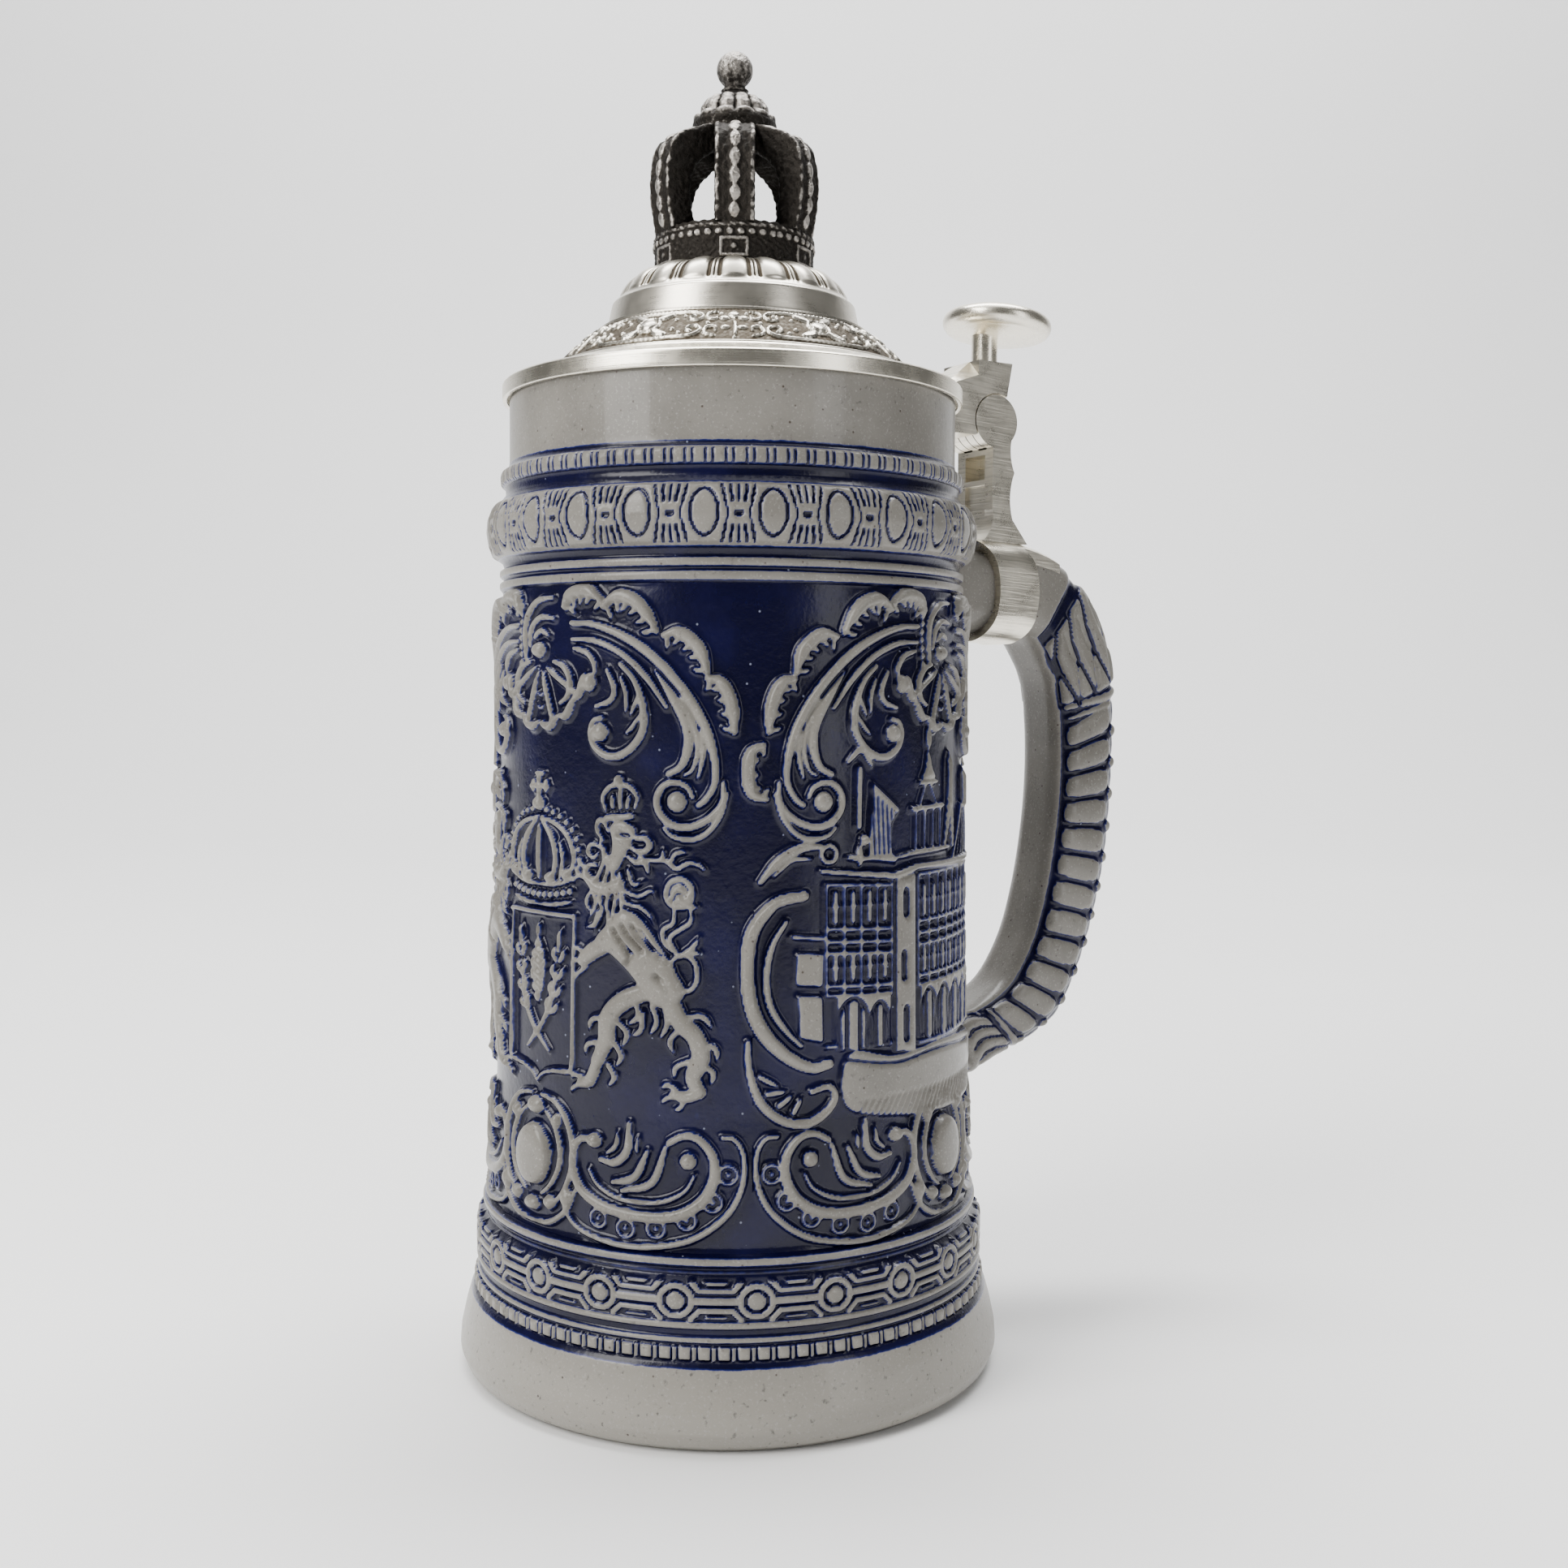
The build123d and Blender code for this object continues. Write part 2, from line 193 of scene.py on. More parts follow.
def put_mesh(name, points, groups, flat=(), material=None, marks=None):
    """A mesh object from places in metres and groups of faces, each group an array with one
    row of corners per face; the groups numbered in flat are not smoothed."""
    corners = np.concatenate([group.ravel() for group in groups]).astype(np.int32)
    sizes = np.concatenate([np.full(len(group), group.shape[1]) for group in groups])
    starts = np.concatenate([[0], np.cumsum(sizes)[:-1]]).astype(np.int32)
    smooth = np.concatenate([np.full(len(group), number not in flat)
                             for number, group in enumerate(groups)])
    mesh = bpy.data.meshes.new(name)
    mesh.vertices.add(len(points))
    mesh.vertices.foreach_set("co", np.asarray(points, np.float32).ravel())
    mesh.loops.add(len(corners))
    mesh.loops.foreach_set("vertex_index", corners)
    mesh.polygons.add(len(sizes))
    mesh.polygons.foreach_set("loop_start", starts)
    mesh.update(calc_edges=True)
    mesh.polygons.foreach_set("use_smooth", smooth)
    for mark, values in (marks or {}).items():
        attribute = mesh.attributes.new(mark, "FLOAT", "POINT")
        attribute.data.foreach_set("value", np.asarray(values, np.float32).ravel())
    mesh.validate()
    mesh.set_sharp_from_angle(angle=np.radians(80))
    piece = bpy.data.objects.new(name, mesh)
    bpy.context.scene.collection.objects.link(piece)
    if material:
        mesh.materials.append(material)
    return piece


def quads(rows, columns, around=False, over=False):
    """Corner numbers of the faces between neighbouring rows and columns of a grid of points;
    around joins the last column to the first, and over the last row to the first."""
    number = np.arange(rows * columns).reshape(rows, columns)
    if around:
        number = np.concatenate([number, number[:, :1]], 1)
    if over:
        number = np.concatenate([number, number[:1]], 0)
    low, high = number[:-1], number[1:]
    return np.stack([low[:, :-1], low[:, 1:], high[:, 1:], high[:, :-1]], -1).reshape(-1, 4)


table_reach = 3.0
sweep_radius = 0.8
sweep_start = 1.1
bend = np.linspace(0, np.pi / 2, 24)
run = np.concatenate([[-table_reach], sweep_start + sweep_radius * np.sin(bend),
                      [sweep_start + sweep_radius]])
rise = np.concatenate([[0], sweep_radius * (1 - np.cos(bend)), [table_reach]])
side = np.array([table_reach, -table_reach])
sweep_points = (run[:, None, None] * np.array(away) + side[None, :, None] * np.array(rightwards)
                + rise[:, None, None] * np.array((0, 0, 1)))
floor_material, floor_place = new_material("pale_floor", Roughness=0.75)
finish_material(floor_material, Base_Color=floor_place.noise(0.4).step(0.0, 1.0).blend(
    (0.86, 0.86, 0.86, 1), (0.90, 0.90, 0.90, 1)))
floor = put_mesh("floor", sweep_points.reshape(-1, 3), [quads(len(run), 2)],
                 material=floor_material)
floor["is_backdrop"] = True


# --- Mug pot ---
# Grey salt-glazed stoneware, pressed in a mould and turned: the ground between the raised work
# is brushed with cobalt, which is wiped off the raised work before the firing. It is made here
# as a foot, a chain band, three picture walls, a plain wall, a shoulder and a rim.

MM = 0.001
mug_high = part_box("mug_body")[1]
rim_height = mug_high.z / MM
foot_radius = mug_high.x / MM
bore_radius = 42.8
floor_thickness = 9.0
ruler_radius = 50.0          # across the pot, millimetres are measured round this radius

# Outline of the pot from the edge of its underside to the rim: radius, height.
pot_outline = np.array([
    (54.3, 0.2), (56.4, 1.6), (foot_radius - 0.1, 4.2), (57.2, 7.4), (56.2, 12.0), (55.2, 15.6),
    (54.5, 16.8), (53.6, 17.2), (53.5, 19.4), (53.2, 20.0), (53.9, 20.4), (53.9, 21.0),
    (53.1, 21.4), (53.1, 22.7), (54.0, 23.1), (54.0, 23.8), (53.2, 24.3), (53.2, 31.2),
    (52.6, 31.8), (51.7, 32.6), (52.0, 33.0), (51.5, 33.6), (52.6, 34.4), (52.7, 35.5),
    (51.0, 36.2), (50.6, 37.0), (50.5, 44.0), (49.7, 61.0), (49.1, 100.0), (48.8, 126.0),
    (48.4, 158.0), (48.2, 161.7), (48.9, 162.3), (48.9, 163.5), (48.0, 164.0), (48.1, 164.4),
    (48.9, 164.9), (48.9, 166.0), (47.9, 166.5), (48.3, 167.8), (49.6, 168.7), (50.5, 171.0),
    (51.0, 174.0), (50.8, 176.5), (49.9, 178.8), (48.6, 180.3), (47.6, 181.6), (47.6, 182.8),
    (48.1, 183.8), (48.2, 185.6), (47.8, 186.6), (47.0, 187.4), (46.8, 188.6),
    (46.8, rim_height - 1.4), (46.4, rim_height - 0.5), (45.5, rim_height - 0.02),
])
# Heights at which cobalt gives way to bare grey along the turned mouldings: one is grey.
wiped = np.array([
    (0, 1), (15.4, 1), (16.2, 0), (20.2, 0), (20.5, 1), (21.0, 1), (21.4, 0), (22.7, 0), (23.1, 1),
    (23.9, 1), (24.3, 0), (32.7, 0), (33.0, 0.42), (33.3, 0), (34.3, 0), (34.7, 1), (35.5, 1),
    (35.9, 0), (161.9, 0), (162.3, 1), (163.5, 1), (163.9, 0), (164.5, 0), (164.9, 1), (166.0, 1),
    (166.4, 0), (168.0, 0), (168.6, 1), (179.6, 1), (180.4, 0), (183.4, 0), (183.9, 1), (186.6, 1),
    (187.0, 0), (187.7, 0), (188.2, 1), (250, 1),
])


def lengths(line):
    """Length of a line from its start to each of its points."""
    return np.concatenate([[0], np.cumsum(np.hypot(*np.diff(line, axis=0).T))])


def places_at(at, gone, line):
    """Places on a line, or one place, where the length gone by is at."""
    return np.stack([np.interp(at, gone, line[:, axis]) for axis in (0, 1)], -1)


fine_step = 0.05             # millimetres between the points of a softened outline


def fired(outline, spacing, softness=0.22):
    """The outline as a glazed edge: points at even spacing along it, each the average of its
    neighbours weighted by a bell curve as wide as softness, in millimetres."""
    gone = lengths(outline)
    dense = places_at(np.arange(0, gone[-1], fine_step), gone, outline)
    reach = int(3 * softness / fine_step)
    bell = np.exp(-0.5 * (np.arange(-reach, reach + 1) * fine_step / softness) ** 2)
    padded = np.pad(dense, ((reach, reach), (0, 0)), mode="edge")
    soft = np.stack([np.convolve(padded[:, axis], bell / bell.sum(), "valid") for axis in (0, 1)], 1)
    keep = np.linspace(0, len(soft) - 1, max(2, int(round(gone[-1] / spacing)) + 1)).astype(int)
    return soft[keep]


soft_outline = fired(pot_outline, fine_step)


def pot_rows(low, high, spacing):
    """Outline points between two heights at even spacing along the outline."""
    inside = soft_outline[(soft_outline[:, 1] >= low) & (soft_outline[:, 1] <= high)]
    length = fine_step * (len(inside) - 1)
    keep = np.linspace(0, len(inside) - 1, int(round(length / spacing)) + 1).astype(int)
    rows = inside[keep].copy()
    rows[0, 1], rows[-1, 1] = low, high
    return rows


def curve(points, steps=6):
    """Smooth run through a few points: between two of them the place is the Catmull-Rom cubic
    of those two and their neighbours."""
    points = np.asarray(points, float)
    if len(points) == 2:
        return points
    closed = np.allclose(points[0], points[-1])
    before = points[-2] if closed else 2 * points[0] - points[1]
    after = points[1] if closed else 2 * points[-1] - points[-2]
    padded = np.concatenate([[before], points, [after]])
    t = (np.arange(steps) / steps)[None, :, None]
    a, b, c, d = (padded[start:len(padded) - 3 + start, None] for start in range(4))
    spans = 0.5 * (2 * b + (c - a) * t + (2 * a - 5 * b + 4 * c - d) * t ** 2
                   + (3 * b - a - 3 * c + d) * t ** 3)
    return np.concatenate([spans.reshape(-1, 2), points[-1:]])


def smooth(value):
    """Zero to one along an S: three of the square less two of the cube."""
    value = np.clip(value, 0, 1)
    return value * value * (3 - 2 * value)


class Relief:
    """Clay raised over a flat grid. `across` and `up` are the grid's rulers in millimetres and
    `rise` is the height of the clay at every crossing. What is drawn is moved by `place`, then,
    for each entry of `sides`, kept or mirrored, and then moved by `centre`."""

    def __init__(self, across, up, edge=0.5):
        self.across, self.up, self.edge = across, up, edge
        self.rise = np.zeros((len(up), len(across)))
        self.place = np.zeros(2)
        self.centre = np.zeros(2)
        self.sides = (1,)

    def drawn(self, points, reach, straight=False):
        """The run of points as a smooth curve on each side it is drawn on, with the rows and
        columns of the grid within reach of it and the places there, if there are any."""
        run = np.asarray(points, float) if straight else curve(points)
        for side in self.sides:
            moved = (run + self.place) * (side, 1) + self.centre
            low, high = moved.min(0) - reach, moved.max(0) + reach
            columns = slice(*np.searchsorted(self.across, (low[0], high[0])))
            rows = slice(*np.searchsorted(self.up, (low[1], high[1])))
            x, z = np.meshgrid(self.across[columns], self.up[rows])
            if x.size:
                yield moved, (rows, columns), np.stack([x, z], -1)

    def raised(self, where, rise):
        """Clay laid on: every place takes the higher of what is there and what comes."""
        self.rise[where] = np.maximum(self.rise[where], rise)

    def nearest(self, run, places):
        """Distance from each place to the run, and the share of the run's length before the
        nearest point: the foot of the perpendicular on each stretch, kept within its ends."""
        start, stretch = run[:-1], np.diff(run, axis=0)
        length = np.maximum(np.hypot(*stretch.T), 1e-9)
        before = np.concatenate([[0], np.cumsum(length)[:-1]])
        best = np.full(places.shape[:2], 1e9)
        share = np.zeros(places.shape[:2])
        for origin, vector, long, gone in zip(start, stretch, length, before):
            offset = places - origin
            foot = np.clip(offset @ vector / long ** 2, 0, 1)
            gap = np.hypot(offset[..., 0] - foot * vector[0], offset[..., 1] - foot * vector[1])
            nearer = gap < best
            best = np.where(nearer, gap, best)
            share = np.where(nearer, (gone + foot * long) / length.sum(), share)
        return best, share

    def ridge(self, points, width, rise=1.35, ends=(0.6, 0.6), straight=False):
        """A raised line: its half width runs from the ends' shares up to full in a third of
        its length, its flank is an S as wide as the edge, and its back is slightly round."""
        for run, where, places in self.drawn(points, width, straight):
            gap, share = self.nearest(run, places)
            swell = np.minimum(ends[0] + (1 - ends[0]) * smooth(share * 3),
                               ends[1] + (1 - ends[1]) * smooth((1 - share) * 3))
            half = 0.5 * width * swell
            flank = smooth((half - gap) / self.edge + 0.5)
            back = 0.82 + 0.18 * (1 - np.clip(gap / half, 0, 1) ** 2)
            self.raised(where, rise * flank * back)

    def groove(self, points, width, depth=0.9, straight=False):
        """A cut line: the clay's height is taken down by a share, most along the middle."""
        for run, where, places in self.drawn(points, width, straight):
            gap = self.nearest(run, places)[0]
            self.rise[where] *= 1 - depth * smooth((0.5 * width - gap) / self.edge + 0.5)

    def plate(self, points, rise=1.3, swell=0.5, straight=False):
        """A raised patch inside a closed outline, with the ridge's flank and a back that
        swells with the distance from the edge, levelling off after about two millimetres."""
        for run, where, places in self.drawn([*points, points[0]], 1.0, straight):
            gap = self.nearest(run, places)[0]
            x, z = places[..., 0, None], places[..., 1, None]
            (x0, z0), (x1, z1) = run[:-1].T, run[1:].T
            spans = (z0 > z) != (z1 > z)
            cross = x < x0 + (x1 - x0) * (z - z0) / np.where(z1 == z0, 1e-9, z1 - z0)
            inside = (spans & cross).sum(-1) % 2 == 1
            depth = np.where(inside, gap, -gap)
            shape = rise + swell * (1 - np.exp(-np.maximum(depth, 0) / 1.2))
            self.raised(where, shape * smooth(depth / self.edge + 0.5))

    def boss(self, x, z, half_width, half_height, rise=1.8):
        """A knob: half an ellipsoid, the root of one less the squared distance from its middle
        in half widths, raised to the power 0.7."""
        corners = [(x - half_width, z - half_height), (x + half_width, z + half_height)]
        for run, where, places in self.drawn(corners, 0.1, True):
            far = (((places - run.mean(0)) / (half_width, half_height)) ** 2).sum(-1)
            self.raised(where, rise * np.maximum(1 - far, 0) ** 0.35)

    def beads(self, points, count, radius, rise=1.2):
        """Small round bosses at even steps along a smooth run."""
        run = curve(points)
        gone = lengths(run)
        for place in places_at(np.linspace(0, gone[-1], count), gone, run):
            self.boss(*place, radius, radius, rise)


def pot_shape(angles, radii, heights):
    """Places of a turned surface: rows of radii and heights in millimetres, angles in radians."""
    heights = np.broadcast_to(heights, radii.shape)
    return MM * np.stack([radii * np.cos(angles), radii * np.sin(angles), heights], -1)


grey_ware = (0.145, 0.137, 0.121)
grey_pale = (0.196, 0.186, 0.166)
grey_foot = (0.255, 0.241, 0.212)
grey_dark = (0.10, 0.094, 0.085)
cobalt_pool = (0.0018, 0.0018, 0.015)
cobalt_thin = (0.008, 0.011, 0.078)
cobalt_edge = (0.048, 0.062, 0.185)

stoneware, spot = new_material("salt_glazed_stoneware", Coat_Roughness=0.09,
                               Coat_IOR=1.5, Specular_IOR_Level=0.22)
# The mark named crest is one where the brush wiped the clay bare and zero where cobalt stayed.
crest = spot.make("ShaderNodeAttribute", {"attribute_name": "crest"}, output="Fac")
brushed = (crest + (spot.noise(0.0014, 4) - 0.5) * 0.60 + (spot.noise(0.006, 3) - 0.5) * 0.30
           + (spot.noise(0.022, 2) - 0.5) * 0.22)
cloud = spot.noise(0.018, 5)
cobalt = cloud.step(0.42, 0.68).blend((*cobalt_pool, 1), (0.0030, 0.0030, 0.028, 1))
cobalt = brushed.step(0.10, 0.42).blend(cobalt, (*cobalt_thin, 1))
cobalt = brushed.step(0.40, 0.60).blend(cobalt, (*cobalt_edge, 1))
# Bare clay is paler towards the foot and has dark and pale specks and small iron spots; the
# cobalt has paler burst bubbles.
height = spot.make("ShaderNodeSeparateXYZ", inputs={"Vector": spot}, output=2)
bare = cloud.step(0.3, 0.75).blend((*grey_ware, 1), (*grey_pale, 1))
bare = (1 - height.step(0.006, 0.028)).blend(bare, (*grey_foot, 1))
bare = spot.noise(0.0011, 2).step(0.60, 0.80).blend(bare, (*grey_dark, 1))
bare = (spot.noise(0.0005, 2).step(0.55, 0.75) * 0.4).blend(bare, (0.36, 0.35, 0.335, 1))
iron = spot.make("ShaderNodeTexVoronoi", inputs={"Vector": spot, "Scale": 300.0})
bare = (1 - iron.step(0.035, 0.10)).blend(bare, (0.055, 0.042, 0.035, 1))
bubble = spot.make("ShaderNodeTexVoronoi", inputs={"Vector": spot, "Scale": 260.0})
cobalt = ((1 - bubble.step(0.03, 0.075)) * 0.75).blend(cobalt, (0.20, 0.22, 0.30, 1))
peel = spot.noise(0.0009, 3) * 0.6 + spot.noise(0.0035, 2) * 1.0
skin = spot.make("ShaderNodeBump", inputs={"Height": peel, "Strength": 0.5, "Distance": 0.00018})
finish_material(
    stoneware,
    Base_Color=brushed.step(0.47, 0.72).blend(cobalt, bare),
    Roughness=brushed.step(0.5, 0.7) * 0.14 + 0.24 + (cloud - 0.5) * 0.10,
    Coat_Weight=brushed.step(0.15, 0.5) * 0.14 + 0.08,
    Normal=skin,
)


def mug_part(piece, node):
    """Marks a piece of clay that rides on the mug in place of one CAD node."""
    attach(piece, "mug")
    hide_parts(node)


def ring_of_clay(name, low, high, spacing, columns, relief, wiped_relief):
    """A closed ring of the pot between two heights: the outline's rows pushed out by the
    relief, then the bore's two rows, joined over the top and under the bottom."""
    rows = pot_rows(low, high, spacing)
    angles = np.linspace(0, 2 * np.pi, columns, endpoint=False)
    lift = relief(rows[:, 1], columns)
    grey = np.repeat(np.interp(rows[:, 1], *wiped.T)[:, None], columns, 1)
    grey = wiped_relief(rows[:, 1], grey, lift)
    radii = np.concatenate([rows[:, :1] + lift, np.full((2, columns), bore_radius)])
    heights = np.concatenate([rows[:, 1], [high, low]])[:, None]
    points = pot_shape(angles, radii, heights)
    faces = quads(len(radii), columns, around=True, over=True).reshape(len(radii), columns, 4)
    outside = faces[:len(rows) - 1].reshape(-1, 4)
    joints = faces[[len(rows) - 1, len(rows) + 1]].reshape(-1, 4)
    bore = faces[len(rows)].reshape(-1, 4)
    crests = np.concatenate([grey, np.ones((2, columns))])
    piece = put_mesh(name, points.reshape(-1, 3), [outside, joints, bore], flat=(1,),
                     material=stoneware, marks={"crest": crests})
    mug_part(piece, "mug_body")


def repeated(count, draw, edge=0.35, radius=ruler_radius):
    """A relief for a ring: one motif drawn on its own stretch of the ring, count times round.
    The radius is the one that millimetres across are measured round."""
    def relief(heights, columns):
        pitch = 2 * np.pi * radius / count
        share = columns // count
        across = (np.arange(share) + 0.5) / share * pitch - pitch / 2
        motif = Relief(across, heights, edge)
        draw(motif, pitch)
        return np.tile(motif.rise, (1, count))
    return relief


def bead_row(motif, pitch):
    """One square bead and one thin bar."""
    motif.plate([(-1.25, 17.3), (0.75, 17.3), (0.8, 19.5), (-1.3, 19.5)], 0.85, 0.3, True)
    motif.ridge([(1.35, 17.3), (1.35, 19.4)], 0.55, 0.9, (1, 1), True)


def chain_link(motif, pitch):
    """Half a ring with a boss in it at either end of a bar, and above and below the bar a
    bracket with a lug in it."""
    for side in (-1, 1):
        ring = [(side * pitch / 2 + 2.85 * np.cos(a), 28.1 + 2.85 * np.sin(a))
                for a in np.linspace(0, 2 * np.pi, 13)]
        motif.ridge(ring, 1.15, 0.85, (1, 1))
        motif.boss(side * pitch / 2, 28.1, 1.75, 1.75, 0.95)
    motif.ridge([(-pitch / 2 + 3, 28.1), (pitch / 2 - 3, 28.1)], 1.5, 0.8, (1, 1), True)
    for way in (-1, 1):
        bracket = [(x, 28.2 + way * z) for x, z in ((-4.4, 3.5), (-3.0, 1.9), (3.0, 1.9), (4.4, 3.5))]
        motif.ridge(bracket, 1.05, 0.8, (1, 1), True)
        lug = [(x, 28.2 + way * z) for x, z in ((-2.3, 3.5), (-1.5, 2.95), (1.5, 2.95), (2.3, 3.5))]
        motif.plate(lug, 0.75, 0.0, True)


def ovals_and_eyes(motif, pitch):
    """A cut oval, and beside it a pricked eye between two bent cuts, with rays above and
    below it."""
    motif.rise += 0.62
    oval = [(2.55 * np.cos(a) - pitch / 4, 174.4 + 4.25 * np.sin(a))
            for a in np.linspace(0, 2 * np.pi, 17)]
    motif.groove(oval, 0.62, 1.05)
    motif.place = np.array((pitch / 4, 0))
    motif.groove([(-0.3, 174.1), (0.3, 174.1)], 1.3, 1.3)
    for way in (-1, 1):
        motif.groove([(way * 2.4, 176.0), (way * 1.9, 174.1), (way * 2.4, 172.3)], 0.4, 0.8)
    for x, lean in ((-2.4, -0.7), (-1.2, -0.3), (0, 0), (1.2, 0.3), (2.4, 0.7)):
        for far, near in ((179.3, 176.4), (168.8, 171.9)):
            motif.groove([(x + lean, far), (x, near)], 0.62, 1.1, True)


def bead_slots(motif, pitch):
    """Two short upright cuts in the small ring under the rim."""
    motif.rise += 0.5
    for x in (-0.7, 0.7):
        motif.groove([(x, 183.7), (x, 186.4)], 0.45, 0.95, True)


def grey_where_raised(low, high, level):
    """Bare clay wherever a band's relief stands above a level, between two heights."""
    def paint(heights, grey, lift):
        band = ((heights > low) & (heights < high))[:, None]
        return np.where(band, smooth((lift - level + 0.12) / 0.24), grey)
    return paint


def with_fade(relief, low, high):
    """The relief held to a band of heights, fading out over half a millimetre at its edges."""
    def faded(heights, columns):
        fade = smooth((heights - low) / 0.5) * smooth((high - heights) / 0.5)
        return relief(heights, columns) * fade[:, None]
    return faded


foot_top, chain_top, wall_top, neck_top = 20.15, 36.3, 161.5, 183.2
bead_count, link_count, oval_count, slot_count = 91, 22, 25, 79
band_spacing = 0.33
ring_of_clay("mug_chain_band", foot_top, chain_top, band_spacing, 44 * link_count,
             repeated(link_count, chain_link), grey_where_raised(24.3, 31.7, 0.45))
ring_of_clay("mug_oval_band", wall_top, neck_top, 0.36, 38 * oval_count,
             with_fade(repeated(oval_count, ovals_and_eyes), 168.6, 180.0),
             grey_where_raised(168.8, 179.6, 0.30))


def draw_frame(motif):
    """Upper half of a panel's border: two long moulded bars that run from the shell down to a
    volute, leaf crests outside them, and a curled leaf inside them."""
    motif.sides = (1, -1)
    motif.ridge([(9, 154.3), (15, 153.8), (22, 151.3), (28, 147.3), (33.5, 141.5), (37.5, 135),
                 (39.3, 129), (39.4, 124.5), (37.8, 121.5), (36.3, 120.3)], 1.9)
    motif.ridge([(9, 151.2), (15, 150.8), (21, 148.3), (26, 144), (29.5, 139.3), (30.2, 138.4)], 1.3)
    motif.ridge([(27.5, 145.5), (31.5, 140), (34, 135), (34.3, 131), (33, 127.5), (30.5, 126)],
                2.0, ends=(0.2, 0.6))
    motif.ridge([(33, 140), (35.5, 135), (36.2, 131), (35.2, 127), (33.5, 125.8)], 0.9)
    motif.ridge([(36.8, 134), (37.3, 130), (36.2, 125.3)], 0.9)
    motif.ridge([(41, 124.5), (40.8, 121), (38.5, 118), (35, 116.3), (31.5, 116.5), (29, 118.6),
                 (28.3, 121.3), (29.5, 123.7), (31.8, 124.5), (34.2, 123.6), (35.2, 121.8)], 1.5)
    motif.ridge([(41.8, 122.5), (40.5, 118.5), (38, 115.2), (35, 113.9), (31.5, 114.4),
                 (29.6, 116)], 1.1)
    motif.boss(32.2, 120.9, 2, 2)
    leaf_crest(motif, [(7.5, 157.2), (9, 159.8), (13, 160.3), (16.5, 158.6)], 5, 3.0)
    leaf_crest(motif, [(16.8, 157.2), (20, 159.2), (24, 158), (27, 154.6), (28, 152.6)], 6, 3.4)
    leaf_crest(motif, [(29.5, 151.8), (32.5, 152.3), (36, 149.8), (37.5, 146.5), (37.8, 145)], 5, 3.0)
    leaf_crest(motif, [(38, 143.8), (40.3, 143.3), (42, 140.5), (42.8, 137), (43, 134)], 5, 2.6)
    motif.ridge([(9.5, 149.5), (13, 148.6), (14.8, 146.5), (14.8, 144.6)], 1.2)
    motif.boss(13.7, 143, 1.6, 1.9)
    motif.ridge([(20.5, 146.5), (23.5, 143.5), (25.3, 139), (25.5, 134.5), (23.5, 131.2),
                 (20.5, 129.3), (17.5, 129.3), (15, 131), (14, 133.5), (14.7, 135.8),
                 (16.5, 136.3)], 1.6)
    motif.boss(16.3, 133.6, 1.8, 1.8)
    motif.ridge([(17.5, 145.5), (19.3, 142), (18.5, 139.6), (15, 138.5)], 1.2)
    motif.ridge([(20.5, 144.2), (21.8, 141), (21.8, 137.5)], 0.9)
    motif.ridge([(24.6, 141), (23.4, 138.2), (22.8, 136.9)], 0.8)
    motif.ridge([(24.8, 137), (23.3, 134.8), (21.8, 133.4)], 0.8)


def leaf_crest(motif, points, fingers, length):
    """A leaf's thick smooth back, with short ribs that hang from it on its right as the line
    runs."""
    motif.ridge(points, 2.5, 1.9, (0.45, 0.45))
    run = curve(points)
    gone = lengths(run)
    for share in np.linspace(0.04, 0.98, fingers):
        at = share * gone[-1]
        foot = places_at(at, gone, run)
        ahead = places_at(at + 0.3, gone, run) - places_at(at - 0.3, gone, run)
        ahead /= np.hypot(*ahead)
        inward = np.array((ahead[1], -ahead[0]))
        motif.ridge([foot, foot + 0.5 * length * inward - 0.2 * ahead,
                     foot + 0.9 * length * inward - 0.7 * ahead], 0.95, 1.3, (1, 0.4))


def draw_shell(motif):
    """The shell and plume in the middle of the border's top."""
    motif.sides = (1,)
    hub = np.array((0.0, 147.0))
    for turn in (-60, -20, 20, 60):
        way = np.array((np.sin(np.radians(turn)), -np.cos(np.radians(turn))))
        motif.ridge([hub + 2.0 * way, hub + 12.0 * way], 1.2, ends=(0.5, 1))
    for turn in (-62, -38, -14, 14, 38, 62):
        rim = [hub + 12.9 * np.array((np.sin(a), -np.cos(a))) + np.array((0, 1.1)) * (j != 1)
               for j, a in enumerate(np.radians((turn - 11, turn, turn + 11)))]
        motif.ridge(rim, 1.6, 1.6)
    for z in (140.5, 138.0):
        motif.ridge([(-1.6, z + 0.9), (0, z), (1.6, z + 0.9)], 0.8, 1.0)
    motif.ridge([(-5, 147.5), (-5.5, 152), (-4.5, 156), (-1, 158.8), (3.5, 159.3)], 1.5)
    motif.ridge([(-3.8, 150), (-3, 153.5), (0, 155.6), (3.8, 155.2)], 1.3)
    motif.ridge([(-2.3, 151.5), (0, 153), (2.5, 152)], 1.1)
    motif.boss(-0.5, 149.3, 2.2, 1.6)
    motif.beads([(-7.2, 147), (-7.6, 152.5), (-7.0, 158)], 8, 0.75)
    motif.sides = (1, -1)
    motif.ridge([(4, 147), (7, 146), (8.8, 143.5), (8.3, 140.5), (6, 139)], 1.4)


